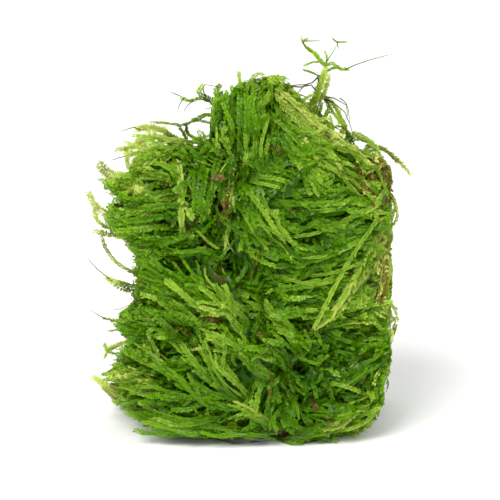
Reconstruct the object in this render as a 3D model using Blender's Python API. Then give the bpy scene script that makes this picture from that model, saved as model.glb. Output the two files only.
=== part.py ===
"""Weeping moss on driftwood: a small branching piece of driftwood, cut off flat at its foot,
with tufts of weeping moss tied on all round. It stands on its foot, and its front faces -Y.

Each tuft is a cushion that fills its share of the room between the wood and the outside of the
bundle, and the locks of its moss are fused to it.
"""

import math

import bmesh
import bpy
from mathutils import Vector, noise
from mathutils.bvhtree import BVHTree

MM = 0.001

# Driving dimensions, in millimetres. The cushions stay inside the outline, and the locks fill it

MIDDLE_X = 1.0
CUSHION_HALF_WIDTH = 34.0
CUSHION_HALF_DEPTH = 23.5
CROWN_HALF_DEPTH = 13.0
CROWN_TAPERS_FROM = 50.0
CROWN_TOP = 94.0
PLAN_SQUARENESS = 2.6
HEM_HEIGHT = 1.2

REACH_LEFT = -41.0
REACH_RIGHT = 39.0
REACH_DEPTH = 27.5
REACH_TOP = 98.0
REACH_SLOPE = ((5, 101), (38, 75))

PARTING_GAP = 1.2
WOOD_CLEARANCE = 2.4
WOOD_NEAREST = 0.1
CUSHION_SQUARENESS = 20.0
CUSHION_DETAIL = 3
GROWTH_STEP = 1.0
GROWTH_REACH = 70.0
HALVINGS = 8

FORK_GAP = 0.35
GNARL_HEIGHT = 1.2
GNARL_SPACING = 13.0
KNOT_FINENESS = 2.3
KNOT_SHARE = 0.5
FOOT_HEIGHT = 18.0
FOOT_FLATTENED = 0.68
WOOD_DETAIL = 3

LOCK_LENGTH = 29.0
LOCK_SHORTEST = 12.0
LOCK_SHORTENED = 0.85
LOCK_SET_BACK = 0.35
LOCK_ROOT_DEPTH = 3.0
LOCK_LIFT = 0.22
LOCK_RADII = (1.3, 2.1, 2.0, 1.4, 0.35)
LOCK_DETAIL = 1
STRAY_DETAIL = 0
LOCK_GAP = 0.4
BEAD_SPACING = 1.5
WELD_DISTANCE = 0.01
COMB_REACH = 4

# The wood's routes, as x, y, z and radius in millimetres at each point

TRUNK = [
    (7, -3, -5, 21), (7, -3, 0.5, 20.5), (6, -2.5, 4, 16), (4, -1, 9, 12.5),
    (1, 1, 22, 11), (-2, 2, 38, 10), (-4, 2, 50, 9), (-5, 2, 57, 5),
]
LIMBS = {
    "driftwood_top_branch": [
        (-4, 2, 53, 6), (-4, 2, 62, 5.8), (-1, 2, 71, 4.4), (3, 2, 79, 3), (5, 2, 84, 1.8),
    ],
    "driftwood_left_branch": [
        (-3, 2, 50, 6), (-9, 1.5, 57, 6.2), (-18, 1, 63, 5), (-27, 0, 68, 3.4), (-30, 0, 71, 2),
    ],
    "driftwood_right_branch": [
        (-1, 2, 38, 7), (8, 1, 50, 6.8), (18, -1, 60, 5.4), (29, -3, 69, 3.8), (34, -4, 72, 2.2),
    ],
}

# The partings between tufts, as lines in the front view from x, z to x, z, in millimetres

PARTINGS = {
    "crown_left": ((-13, 86), (-6, 72)),
    "crown_right": ((-6, 73), (36, 70)),
    "upper_middle": ((-7.5, 78), (-8.5, 53)),
    "left_middle": ((-40, 51), (-8, 53)),
    "long_slope": ((-9, 53), (16, 26)),
    "right_corner": ((16, 26), (40, 31)),
    "hem_corner": ((15, 27), (8, 0)),
    "back_middle": ((-40, 40), (40, 57)),
}

# The outline's straight edges in the same view

EDGES = {
    "crown_slope": ((4, 96), (34, 73)),
    "crown_shoulder": ((-11, 84), (-4, 95)),
    "left_shoulder": ((-34, 73), (-10, 81)),
}

# The parting between the front tufts and the back ones, as a point and a normal

SIDE_PARTING = ((0, 3, 50), (0.12, 1, -0.05))

# Each tuft: the middle that it grows from, the partings and the edges that bound it, and how many
# places on it are tried for a lock

TUFTS = {
    "moss_crown": ((8, -5, 82), ("crown_left", "crown_right"), ("crown_slope", "crown_shoulder"), 12),
    "moss_upper_left": ((-20, -8, 66), ("crown_left", "upper_middle", "left_middle"), ("left_shoulder",), 11),
    "moss_right": ((17, -11, 51), ("crown_right", "upper_middle", "long_slope", "right_corner"), (), 13),
    "moss_lower_left": ((-14, -14, 27), ("left_middle", "long_slope", "hem_corner"), (), 15),
    "moss_lower_right": ((25, -10, 14), ("right_corner", "hem_corner"), (), 8),
    "moss_back_upper": ((2, 12, 66), ("back_middle",), ("crown_slope", "left_shoulder"), 13),
    "moss_back_lower": ((-3, 15, 26), ("back_middle",), (), 13),
}

# How the moss lies: x, y, z in millimetres, and the way it points there from root to tip, in
# degrees in the front view, where 0 is to the right and 90 is up

COMB = [
    (-4, -12, 88, 96), (6, -12, 86, 80), (16, -12, 82, -38), (28, -10, 76, -38),
    (-1, -16, 72, -75), (-16, -14, 78, 140), (-28, -14, 72, 155), (-34, -8, 58, 178),
    (-16, -20, 62, 172), (6, -20, 62, -12), (20, -20, 64, -2), (32, -18, 60, -8),
    (14, -22, 44, 8), (28, -20, 40, 2), (2, -22, 44, -40), (-12, -22, 44, 150),
    (-34, -10, 44, 152), (0, -22, 28, 128), (-16, -22, 30, 142), (-34, -10, 26, 160),
    (-10, -22, 12, 165), (-34, -8, 8, 178), (18, -22, 22, 20), (28, -20, 10, 30),
    (16, -22, 5, -8), (2, -22, 4, 178),
    (36, 0, 66, -75), (37, 0, 48, -85), (37, 0, 30, -80), (36, 0, 12, 50),
    (-4, 12, 88, 98), (18, 12, 80, -35), (-24, 12, 74, 150), (0, 18, 68, 110),
    (-28, 16, 52, 172), (28, 16, 60, -14), (0, 22, 48, -95), (-26, 18, 26, 195),
    (26, 18, 28, -20), (0, 22, 24, -80), (-14, 22, 8, 200), (18, 22, 8, -15),
]

# Single locks that leave the bundle, as x, y, z and radius in millimetres at each point

STRAYS = {
    "moss_crown": [
        [
            (17, -2, 78, 1.3), (19, -2, 86, 1.2), (19.5, -2, 93, 0.9),
            (20.5, -2, 100, 0.8), (17, -2, 103.5, 0.6), (14, -2, 106.8, 0.5),
        ],
        [(20, -2, 99, 0.7), (23.5, -2, 98.5, 0.6), (29, -2, 100, 0.35), (40, -3, 103, 0.25)],
        [(20, -2, 98, 0.6), (17, -2, 99.5, 0.45), (13.5, -3, 98.5, 0.3)],
        [(19, -2, 101, 0.6), (21.5, -2, 103.5, 0.4), (25.5, -3, 106, 0.3)],
        [(24, -3, 76, 1.6), (29, -3, 78.5, 1.2), (36.5, -3, 76, 0.9), (41, -4, 71.5, 0.6), (44.5, -4, 68, 0.3)],
        [(-1, -4, 88, 2), (-2.4, -4, 93, 1.5), (-2.7, -4, 98, 0.4)],
        [(-6, -3, 86, 1.8), (-9.5, -3, 89.5, 1.2), (-15, -3, 90, 0.7), (-21, -4, 92, 0.3)],
    ],
    "moss_upper_left": [
        [(-24, -4, 72, 2), (-30, -4, 76.5, 1.6), (-37.5, -5, 81, 0.4)],
        [(-28, -5, 60, 2.2), (-36, -5, 62, 1.6), (-43.5, -6, 64, 0.4)],
    ],
    "moss_lower_left": [
        [(-26, -6, 38, 2), (-33, -6, 40, 1.4), (-39, -6, 43, 0.9), (-43.5, -7, 46.5, 0.3)],
        [(-27, -6, 25, 2), (-34, -6, 27.5, 1.4), (-43.5, -7, 32, 0.3)],
        [(-27, -7, 10, 2.2), (-35, -7, 11, 1.8), (-42, -8, 13, 0.4)],
    ],
    "moss_lower_right": [
        [(23, -17, 4, 1.8), (28, -23, 6.5, 1.6), (33, -26, 11, 0.4)],
        [(20, -18, 18, 1.8), (26, -24, 17, 1.6), (33, -26, 14.5, 0.4)],
    ],
    "moss_right": [
        [
            (31, -6, 62, 1.5), (37.5, -7, 60, 1.7), (36, -15, 53, 1.6),
            (30, -21, 45, 1.4), (19, -25, 33, 0.5),
        ],
    ],
}

COLOURS = {
    "driftwood": ((0.105, 0.055, 0.024), 0.75),
    "moss": ((0.085, 0.21, 0.012), 0.5),
}


def mm(values):
    """A vector in metres, from a point in millimetres."""
    return Vector(values) * MM


# Scene, collections and materials


def clear_scene():
    for found in list(bpy.data.objects):
        bpy.data.objects.remove(found)


def new_collection(name):
    collection = bpy.data.collections.new(name)
    bpy.context.scene.collection.children.link(collection)
    return collection


def new_material(name):
    colour, roughness = COLOURS[name]
    made = bpy.data.materials.new(name)
    made.use_nodes = True
    shader = made.node_tree.nodes["Principled BSDF"]
    shader.inputs["Base Color"].default_value = (*colour, 1)
    shader.inputs["Roughness"].default_value = roughness
    shader.inputs["Metallic"].default_value = 0
    return made


def new_object(name, mesh, collection, finish):
    """A finished piece with its material."""
    made = bpy.data.objects.new(name, mesh)
    collection.objects.link(made)
    mesh.materials.clear()
    mesh.materials.append(finish)
    return made


def new_helper(name, mesh, collection):
    """A cutter or a lock: it shapes another object and isn't a piece itself."""
    made = bpy.data.objects.new(name, mesh)
    collection.objects.link(made)
    made.hide_render = True
    made.display_type = "WIRE"
    return made


# Tubes: the wood and the locks are curves with a round bevel and a radius at each point


def tube_mesh(name, route, detail, smooth=False):
    """A closed tube along a route of x, y, z and radius in millimetres, its caps welded on."""
    curve = bpy.data.curves.new(name, "CURVE")
    curve.dimensions = "3D"
    curve.bevel_depth = MM
    curve.bevel_resolution = detail
    curve.use_fill_caps = True
    spline = curve.splines.new("NURBS" if smooth else "POLY")
    spline.points.add(len(route) - 1)
    for point, (x, y, z, radius) in zip(spline.points, route):
        point.co = (*mm((x, y, z)), 1)
        point.radius = radius
    if smooth:
        spline.order_u = 3
        spline.use_endpoint_u = True
        spline.resolution_u = 2
    holder = bpy.data.objects.new(name, curve)
    bpy.context.scene.collection.objects.link(holder)
    graph = bpy.context.evaluated_depsgraph_get()
    mesh = bpy.data.meshes.new_from_object(holder.evaluated_get(graph))
    bpy.data.objects.remove(holder)
    bpy.data.curves.remove(curve)
    reshape(mesh, lambda shape: bmesh.ops.remove_doubles(shape, verts=shape.verts, dist=WELD_DISTANCE * MM))
    return mesh


def reshape(mesh, change):
    """Edits a mesh with bmesh and turns its faces outwards."""
    shape = bmesh.new()
    shape.from_mesh(mesh)
    change(shape)
    bmesh.ops.recalc_face_normals(shape, faces=shape.faces)
    shape.to_mesh(mesh)
    shape.free()


def surface_of(mesh):
    """The mesh's surface, to measure distances and aim rays at, in metres."""
    shape = bmesh.new()
    shape.from_mesh(mesh)
    surface = BVHTree.FromBMesh(shape)
    shape.free()
    return surface


def join_by(made, operation, other, solver="EXACT"):
    """Adds a Boolean modifier, and leaves it to be applied with the rest."""
    step = made.modifiers.new(other.name, "BOOLEAN")
    step.operation = operation
    step.solver = solver
    step.object = other


# Driftwood


def gnarl(mesh):
    """Pushes the wood in and out in long knots and hollows."""
    for vertex in mesh.vertices:
        place = vertex.co / (GNARL_SPACING * MM)
        push = noise.noise(place) + KNOT_SHARE * noise.noise(KNOT_FINENESS * place)
        vertex.co += vertex.normal * push * GNARL_HEIGHT * MM


def flatten_foot(mesh):
    """Makes the foot narrower from front to back, less so further up."""
    middle = TRUNK[0][1] * MM
    for vertex in mesh.vertices:
        share = min(max(vertex.co.z / (FOOT_HEIGHT * MM), 0), 1)
        narrowed = FOOT_FLATTENED + (1 - FOOT_FLATTENED) * share
        vertex.co.y = middle + (vertex.co.y - middle) * narrowed


def cut_off_flat(shape):
    """Cuts the wood off at floor height and closes the cut."""
    cut = bmesh.ops.bisect_plane(
        shape,
        geom=shape.verts[:] + shape.edges[:] + shape.faces[:],
        plane_co=(0, 0, 0),
        plane_no=(0, 0, -1),
        clear_outer=True,
    )
    rim = [item for item in cut["geom_cut"] if isinstance(item, bmesh.types.BMEdge)]
    bmesh.ops.edgeloop_fill(shape, edges=rim)


def swollen_copy(source, collection):
    """A cutter: the same shape, grown by the fork's gap on every side."""
    mesh = source.data.copy()
    for vertex in mesh.vertices:
        vertex.co += vertex.normal * FORK_GAP * MM
    return new_helper(source.name + "_clearance", mesh, collection)


def build_driftwood(pieces, helpers, finish):
    mesh = tube_mesh("driftwood_trunk", TRUNK, WOOD_DETAIL, smooth=True)
    flatten_foot(mesh)
    gnarl(mesh)
    reshape(mesh, cut_off_flat)
    trunk = new_object("driftwood_trunk", mesh, pieces, finish)
    made, cutters = [trunk], [swollen_copy(trunk, helpers)]
    for name, route in LIMBS.items():
        mesh = tube_mesh(name, route, WOOD_DETAIL, smooth=True)
        gnarl(mesh)
        limb = new_object(name, mesh, pieces, finish)
        next_cutter = swollen_copy(limb, helpers)
        for cutter in cutters:
            join_by(limb, "DIFFERENCE", cutter)
        made.append(limb)
        cutters.append(next_cutter)
    return made


# Tufts


def half_depth(height):
    """How deep the cushions are from the middle to the front at this height."""
    share = (height - CROWN_TAPERS_FROM) / (CROWN_TOP - CROWN_TAPERS_FROM)
    return CUSHION_HALF_DEPTH - (CUSHION_HALF_DEPTH - CROWN_HALF_DEPTH) * min(max(share, 0), 1)


def outline_share(point):
    """How far a point is out from the bundle's upright axis, as a share of the outline there."""
    across = abs(point.x - MIDDLE_X) / CUSHION_HALF_WIDTH
    deep = abs(point.y) / half_depth(point.z)
    power = PLAN_SQUARENESS
    return (across**power + deep**power) ** (1 / power)


def wall_from(middle, point, normal, gap):
    """A plane that bounds a tuft, as its outward normal and its room from the middle."""
    normal = normal.normalized()
    room = normal.dot(point - middle)
    return (normal, room - gap) if room > 0 else (-normal, -room - gap)


def line_wall(middle, line, gap):
    """The same for a line in the front view."""
    (x0, z0), (x1, z1) = line
    return wall_from(middle, Vector((x0, 0, z0)), Vector((z1 - z0, 0, x0 - x1)), gap)


def walls_of(tuft):
    """The planes between a tuft and its neighbours, and those on its open side."""
    middle, partings, edges, _ = TUFTS[tuft]
    middle, gap = Vector(middle), PARTING_GAP / 2
    inner = [wall_from(middle, Vector(SIDE_PARTING[0]), Vector(SIDE_PARTING[1]), gap)]
    inner += [line_wall(middle, PARTINGS[name], gap) for name in partings]
    inner.append(wall_from(middle, Vector((0, 0, HEM_HEIGHT)), Vector((0, 0, -1)), 0))
    outer = [line_wall(middle, EDGES[name], 0) for name in edges]
    outer.append(wall_from(middle, Vector((0, 0, CROWN_TOP)), Vector((0, 0, 1)), 0))
    return inner, outer


def shares(point, middle, walls):
    """How far out a point is towards each plane, from 0 at the tuft's middle to 1 at the plane."""
    return [max(normal.dot(point - middle), 0) / room for normal, room in walls]


def crowding(point, middle, walls, wood):
    """Under 1 where the tuft has room, and 1 where it meets the outline, a parting or the wood."""
    nearest = min(surface.find_nearest(point * MM)[3] for surface in wood) / MM
    terms = [outline_share(point), WOOD_CLEARANCE / max(nearest, WOOD_NEAREST)]
    terms += shares(point, middle, walls)
    power = CUSHION_SQUARENESS
    return sum(term**power for term in terms) ** (1 / power)


def grown_point(direction, middle, walls, wood):
    """Where growth from the middle in this direction stops."""
    reached = 0.0
    while reached < GROWTH_REACH:
        if crowding(middle + direction * (reached + GROWTH_STEP), middle, walls, wood) >= 1:
            break
        reached += GROWTH_STEP
    step = GROWTH_STEP
    for _ in range(HALVINGS):
        step /= 2
        if crowding(middle + direction * (reached + step), middle, walls, wood) < 1:
            reached += step
    return middle + direction * reached


def cushion_mesh(tuft, wood):
    """A ball of faces, each corner pushed out from the tuft's middle as far as it can grow."""
    middle = Vector(TUFTS[tuft][0])
    inner, outer = walls_of(tuft)
    shape = bmesh.new()
    bmesh.ops.create_icosphere(shape, subdivisions=CUSHION_DETAIL, radius=1)
    for vertex in shape.verts:
        vertex.co = grown_point(vertex.co.normalized(), middle, inner + outer, wood) * MM
    mesh = bpy.data.meshes.new(tuft)
    shape.to_mesh(mesh)
    shape.free()
    return mesh


# Locks


def combed(point):
    """The way the moss points at this place, from the nearest comb strokes."""
    total = Vector((0, 0, 0))
    for x, y, z, angle in COMB:
        weight = 1 / ((point - Vector((x, y, z))).length + 1) ** COMB_REACH
        turned = math.radians(angle)
        total += Vector((math.cos(turned), 0, math.sin(turned))) * weight
    return total.normalized()


def lying(direction, outward):
    """The direction with its inward part taken out and the lift of a lock added."""
    along = direction - outward * min(direction.dot(outward), 0)
    return (along.normalized() + outward * LOCK_LIFT).normalized()


def lock_route(spot, middle, own, length):
    """A lock's points, from under the cushion's surface out along the way the moss lies."""
    set_back = spot - combed(spot) * length * LOCK_SET_BACK
    point = own.find_nearest(set_back * MM)[0] / MM
    point = point + (middle - point).normalized() * LOCK_ROOT_DEPTH
    step = length / (len(LOCK_RADII) - 1)
    route = []
    for radius in LOCK_RADII:
        route.append((*point, radius))
        outward = own.find_nearest(point * MM)[1]
        point = point + lying(combed(point), outward) * step
    return route


def within_reach(route):
    """True if the lock's tip stays inside the bundle's outline and the lock off the floor."""
    x, y, z, _ = route[-1]
    (x0, z0), (x1, z1) = REACH_SLOPE
    roof = min(REACH_TOP, z0 + (z1 - z0) * (x - x0) / (x1 - x0))
    lowest = min(height - girth for _, _, height, girth in route)
    return REACH_LEFT < x < REACH_RIGHT and abs(y) < REACH_DEPTH and z < roof and lowest > 0


def beads_along(route):
    """Points a millimetre or so apart along a route, each as x, y, z and radius."""
    beads = []
    for start, end in zip(route, route[1:]):
        start, end = Vector(start), Vector(end)
        count = max(round((end - start).length / BEAD_SPACING), 1)
        beads += [start.lerp(end, index / count) for index in range(count)]
    return beads + [Vector(route[-1])]


def clear_of(route, surfaces, taken):
    """True if a lock keeps its gap to other pieces' surfaces and to the locks already on them."""
    for bead in beads_along(route):
        place, room = bead.xyz, bead.w + LOCK_GAP
        if any(surface.find_nearest(place * MM)[3] < room * MM for surface in surfaces):
            return False
        if any((place - other.xyz).length < room + other.w for other in taken):
            return False
    return True


def open_spots(tuft, mesh):
    """The middles of the cushion's faces on its open side, where it meets no neighbour."""
    middle = Vector(TUFTS[tuft][0])
    inner, outer = walls_of(tuft)
    found = []
    for face in mesh.polygons:
        spot = face.center / MM
        open_share = max(shares(spot, middle, outer) + [outline_share(spot)])
        if open_share > max(shares(spot, middle, inner)):
            found.append(spot)
    return found


def spread_out(spots, count):
    """Some of the spots, each as far as it can be from those before it."""
    chosen = [max(spots, key=lambda spot: spot.z)]
    while len(chosen) < count:
        chosen.append(max(spots, key=lambda spot: min((spot - other).length for other in chosen)))
    return chosen


def lock_routes(tuft, mesh, surfaces, taken):
    """The tuft's locks: its strays, then as many as find room on its open side."""
    middle, own = Vector(TUFTS[tuft][0]), surface_of(mesh)
    routes = list(STRAYS.get(tuft, []))
    for spot in spread_out(open_spots(tuft, mesh), TUFTS[tuft][3]):
        length = LOCK_LENGTH
        while length > LOCK_SHORTEST:
            route = lock_route(spot, middle, own, length)
            if within_reach(route) and clear_of(route, surfaces, taken):
                routes.append(route)
                break
            length *= LOCK_SHORTENED
    return routes


def build_tufts(pieces, helpers, finish, driftwood):
    wood = [surface_of(made.data) for made in driftwood]
    cushions = {name: cushion_mesh(name, wood) for name in TUFTS}
    surfaces = {name: surface_of(mesh) for name, mesh in cushions.items()}
    locks = {}
    for name in TUFTS:
        others = wood + [surface for other, surface in surfaces.items() if other != name]
        strays = [route for other in TUFTS if other != name for route in STRAYS.get(other, [])]
        routes = [route for found in locks.values() for route in found] + strays
        taken = [bead for route in routes for bead in beads_along(route)]
        locks[name] = lock_routes(name, cushions[name], others, taken)
        print(name, len(locks[name]), "locks")
    for name, routes in locks.items():
        strays = len(STRAYS.get(name, []))
        meshes = [tube_mesh(f"{name}_stray", route, STRAY_DETAIL, smooth=True) for route in routes[:strays]]
        meshes += [tube_mesh(f"{name}_lock", route, LOCK_DETAIL) for route in routes[strays:]]
        made = new_object(name, cushions[name], pieces, finish)
        for index, mesh in enumerate(meshes):
            # The exact solver loses the whole cushion after a few locks
            join_by(made, "UNION", new_helper(f"{name}_lock_{index}", mesh, helpers), "MANIFOLD")


def main():
    clear_scene()
    pieces = new_collection("weeping_moss_on_driftwood")
    helpers = new_collection("cutters")
    driftwood = build_driftwood(pieces, helpers, new_material("driftwood"))
    build_tufts(pieces, helpers, new_material("moss"), driftwood)


main()
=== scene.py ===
# %% [markdown]
# # Weeping moss on driftwood
# Weeping moss is an aquarium plant. Its stems are thin as thread, and two rows of tiny leaves make
# each one a flat green frond. Here it is tied in tufts all round a small forked piece of
# driftwood, and it is wet. The imported CAD model already holds the wood and a solid for each tuft.
# This lesson dresses them: wood with its grain, and thousands of fronds that all grow from one
# modelled frond.

# %% Load the imported model
import math

import bpy
import numpy as np
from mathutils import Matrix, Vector, noise
from mathutils.bvhtree import BVHTree
from mathutils.kdtree import KDTree


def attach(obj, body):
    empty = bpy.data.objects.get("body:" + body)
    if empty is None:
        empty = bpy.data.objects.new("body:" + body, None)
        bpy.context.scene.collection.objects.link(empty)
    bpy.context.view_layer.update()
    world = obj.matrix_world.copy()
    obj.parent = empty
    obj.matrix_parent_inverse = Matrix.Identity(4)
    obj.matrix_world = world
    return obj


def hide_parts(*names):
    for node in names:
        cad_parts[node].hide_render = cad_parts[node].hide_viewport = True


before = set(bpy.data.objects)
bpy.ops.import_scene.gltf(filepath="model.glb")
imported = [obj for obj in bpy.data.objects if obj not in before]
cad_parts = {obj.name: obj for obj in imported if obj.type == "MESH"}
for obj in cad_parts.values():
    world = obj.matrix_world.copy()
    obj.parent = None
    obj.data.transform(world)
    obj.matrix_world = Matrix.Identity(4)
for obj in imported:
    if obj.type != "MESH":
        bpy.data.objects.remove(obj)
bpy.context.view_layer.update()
MM = 0.001
print("nodes:", ", ".join(sorted(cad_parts)))

# %% [markdown]
# Colours are written as the hex codes that a screen shows, and Blender mixes light in linear
# numbers, so one function turns the first into the second. Materials are node trees: one small
# function adds a node with its settings, its socket values and its links, and another makes an
# empty material to add them to.

# %% Helpers for materials
def linear(code, alpha=1.0):
    """An sRGB hex code as linear red, green, blue and alpha."""
    shares = [int(code[at : at + 2], 16) / 255 for at in (1, 3, 5)]
    return (*[(s / 12.92) if s <= 0.04045 else ((s + 0.055) / 1.055) ** 2.4 for s in shares], alpha)


def add_node(tree, kind, values=None, links=None, stops=None, **settings):
    """Adds a node: values go on its sockets, links come from others, and stops fill a colour ramp."""
    node = tree.nodes.new(kind)
    for name, value in settings.items():
        setattr(node, name, value)
    for socket, value in (values or {}).items():
        node.inputs[socket].default_value = value
    for socket, source in (links or {}).items():
        tree.links.new(source, node.inputs[socket])
    for index, (place, code) in enumerate(stops or ()):
        ramp = node.color_ramp.elements
        element = ramp[index] if index < 2 else ramp.new(place)
        element.position, element.color = place, linear(code)
    return node


def new_material(name):
    """An empty material, its node tree and its output node."""
    made = bpy.data.materials.new(name)
    made.use_nodes = True
    made.node_tree.nodes.clear()
    return made, made.node_tree, made.node_tree.nodes.new("ShaderNodeOutputMaterial")


print("mid grey #808080 is", round(linear("#808080")[0], 3), "in linear light")

# %% [markdown]
# ## The studio
# The photograph looks at the bundle from the front, a little from above, with a long lens. Where
# the foot and the peak stand in it gives the scale: 0.27 mm for each of its 500 pixels. A pale
# floor and three large, soft lights keep the shadows soft, as on an overcast day.

# %% Camera, floor and lights
VIEW_HEIGHT = 48 * MM
VIEW_DISTANCE = 0.60
VIEW_ELEVATION = math.radians(15)
FIELD_WIDTH = 135 * MM
SENSOR = 36.0
NEAREST, FARTHEST = 0.01, 20
FLOOR_SIZE = 8.0
WORLD_STRENGTH = 0.42

camera = bpy.data.objects.new("camera", bpy.data.cameras.new("camera"))
bpy.context.scene.collection.objects.link(camera)
camera.data.sensor_width = SENSOR
camera.data.lens = SENSOR * VIEW_DISTANCE / FIELD_WIDTH
camera.data.clip_start, camera.data.clip_end = NEAREST, FARTHEST
look = Vector((0, math.cos(VIEW_ELEVATION), -math.sin(VIEW_ELEVATION)))
camera.location = Vector((0, 0, VIEW_HEIGHT)) - look * VIEW_DISTANCE
camera.rotation_euler = look.to_track_quat("-Z", "Y").to_euler()
bpy.context.scene.camera = camera
bpy.context.scene.view_settings.view_transform = "Standard"

bpy.ops.object.select_all(action="DESELECT")
bpy.ops.mesh.primitive_plane_add(size=FLOOR_SIZE)
floor = bpy.context.active_object
floor.name = "floor"
paper, tree, output = new_material("matt white paper")
white = add_node(tree, "ShaderNodeBsdfDiffuse", {"Color": linear("#f7f7f5")})
tree.links.new(white.outputs[0], output.inputs["Surface"])
floor.data.materials.append(paper)

# Each light: its name, where it stands in metres, its width in metres and its power in watts
LIGHTS = [
    ("key", (-0.45, -0.75, 1.0), 0.7, 18.5),
    ("fill", (0.8, -0.7, 0.5), 0.9, 6.0),
    ("back", (0.2, 0.9, 0.8), 0.8, 6.0),
]
for name, place, width, power in LIGHTS:
    light = bpy.data.objects.new(name, bpy.data.lights.new(name, "AREA"))
    bpy.context.scene.collection.objects.link(light)
    light.location = place
    aim = Vector((0, 0, VIEW_HEIGHT)) - Vector(place)
    light.rotation_euler = aim.to_track_quat("-Z", "Y").to_euler()
    light.data.size, light.data.energy = width, power

world = bpy.data.worlds.new("studio")
world.use_nodes = True
world.node_tree.nodes["Background"].inputs["Color"].default_value = linear("#ffffff")
world.node_tree.nodes["Background"].inputs["Strength"].default_value = WORLD_STRENGTH
bpy.context.scene.world = world
print("camera lens", round(camera.data.lens), "mm,", len(LIGHTS), "lights")

# %% [markdown]
# ## Driftwood
# Driftwood is wood that water has stripped of bark and stained dark brown. Its grain stands out
# as long ridges, because the soft wood between them wears away first. The finish has that grain as
# dark and light brown lines with a fine relief, and a faint green stain in patches. Sizes are in
# millimetres.

# %% Driftwood's finish
GRAIN_SPACING = 0.9
GRAIN_DEPTH = 0.3
# The grain is fine across the trunk and long up it
GRAIN_STRETCH = 0.14
# A patch of green stain about every 11 mm
STAINS_IN_A_METRE = 90.0

driftwood, tree, output = new_material("waterlogged driftwood")
place = add_node(tree, "ShaderNodeTexCoord").outputs["Object"]
stretched = add_node(
    tree, "ShaderNodeMapping", {"Scale": (1, 1, GRAIN_STRETCH)}, {"Vector": place},
).outputs[0]
grain = add_node(
    tree, "ShaderNodeTexNoise",
    {"Scale": 1 / (GRAIN_SPACING * MM), "Detail": 6.0, "Roughness": 0.6},
    {"Vector": stretched},
).outputs[0]
stain = add_node(
    tree, "ShaderNodeTexNoise", {"Scale": STAINS_IN_A_METRE, "Detail": 3.0}, {"Vector": place},
).outputs[0]
wood_tone = add_node(
    tree, "ShaderNodeValToRGB", links={"Fac": grain},
    stops=[(0.3, "#23150a"), (0.72, "#8a6440"), (0.45, "#4a3119"), (0.58, "#6b4a2b")],
).outputs[0]
algae = add_node(
    tree, "ShaderNodeValToRGB", links={"Fac": stain}, stops=[(0.5, "#ffffff"), (0.7, "#8d9a5c")],
).outputs[0]
tinted = add_node(
    tree, "ShaderNodeMix", {"Factor": 1.0}, data_type="RGBA", blend_type="MULTIPLY",
)
tree.links.new(wood_tone, tinted.inputs["A"])
tree.links.new(algae, tinted.inputs["B"])
ridges = add_node(
    tree, "ShaderNodeBump", {"Strength": 0.6, "Distance": GRAIN_DEPTH * MM}, {"Height": grain},
).outputs[0]
shader = add_node(
    tree, "ShaderNodeBsdfPrincipled", {"Roughness": 0.5, "IOR": 1.45},
    {"Base Color": tinted.outputs["Result"], "Normal": ridges},
)
tree.links.new(shader.outputs[0], output.inputs["Surface"])
print("driftwood's finish has", len(tree.nodes), "nodes")

# %% [markdown]
# The CAD solids have the right form with few faces. A copy of each is rebuilt as an even mesh with
# the Remesh modifier, and its points are moved in and out by a noise that is stretched upwards, so
# that long ridges run up the wood. The foot's flat cut is left alone, because the part stands on it.

# %% Driftwood's pieces
WOOD_FACE = 0.8
WOOD_SMOOTHING = 3
RIDGE_HEIGHT = 0.35
RIDGE_SPACING = 2.2
RIDGE_LENGTH = 9.0


def only(piece):
    """Selects one object and nothing else."""
    bpy.ops.object.select_all(action="DESELECT")
    piece.select_set(True)
    bpy.context.view_layer.objects.active = piece


def apply_modifier(piece, kind, **settings):
    """Adds a modifier with its settings and applies it."""
    only(piece)
    step = piece.modifiers.new(kind, kind)
    for name, value in settings.items():
        setattr(step, name, value)
    bpy.ops.object.modifier_apply(modifier=step.name)


def copy_of(node, name):
    """A copy of a CAD node, its loose triangles merged."""
    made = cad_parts[node].copy()
    made.data = made.data.copy()
    made.name = made.data.name = name
    bpy.context.scene.collection.objects.link(made)
    only(made)
    bpy.ops.object.mode_set(mode="EDIT")
    bpy.ops.mesh.select_all(action="SELECT")
    bpy.ops.mesh.remove_doubles(threshold=0.01 * MM)
    bpy.ops.object.mode_set(mode="OBJECT")
    return made


def raise_grain(piece):
    """Moves the surface in and out in long ridges, but leaves the flat cut of the foot."""
    for vertex in piece.data.vertices:
        if vertex.co.z < WOOD_FACE * MM:
            continue
        x, y, z = vertex.co / MM
        push = noise.noise((x / RIDGE_SPACING, y / RIDGE_SPACING, z / RIDGE_LENGTH))
        vertex.co += vertex.normal * push * RIDGE_HEIGHT * MM


wood = {}
for node in sorted(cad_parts):
    if not node.startswith("driftwood"):
        continue
    piece = copy_of(node, "old_" + node)
    apply_modifier(piece, "REMESH", mode="VOXEL", voxel_size=WOOD_FACE * MM)
    apply_modifier(piece, "SMOOTH", factor=0.5, iterations=WOOD_SMOOTHING)
    raise_grain(piece)
    piece.data.materials.clear()
    piece.data.materials.append(driftwood)
    bpy.ops.object.shade_smooth()
    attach(piece, "root")
    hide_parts(node)
    wood[node] = piece
    print(piece.name, len(piece.data.polygons), "faces")

# %% [markdown]
# ## How moss is coloured
# A moss leaf is one cell thick, so light shines through it, and its colour runs from brown-green
# at the old root end to light yellow-green at the newly grown tip. The dark root end is partly old
# growth and partly painted shade, where roots lie deep under other fronds. Every leaf reads its
# colour from one chart. Across the chart (u) go the shades, from deep green to pale, with old brown
# stems at the far end, and up it (v) goes the frond from root to tip, with the leaves' edges set
# higher as a painted wet sheen and glow. The chart is two colour ramps mixed, so no image is
# painted, and faces that share a place on it agree.

# %% Moss's finish
CHART = "OFBake"
# Where old brown stems are across the chart
BROWN = 0.95
LIGHT_THROUGH = 0.35

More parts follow.
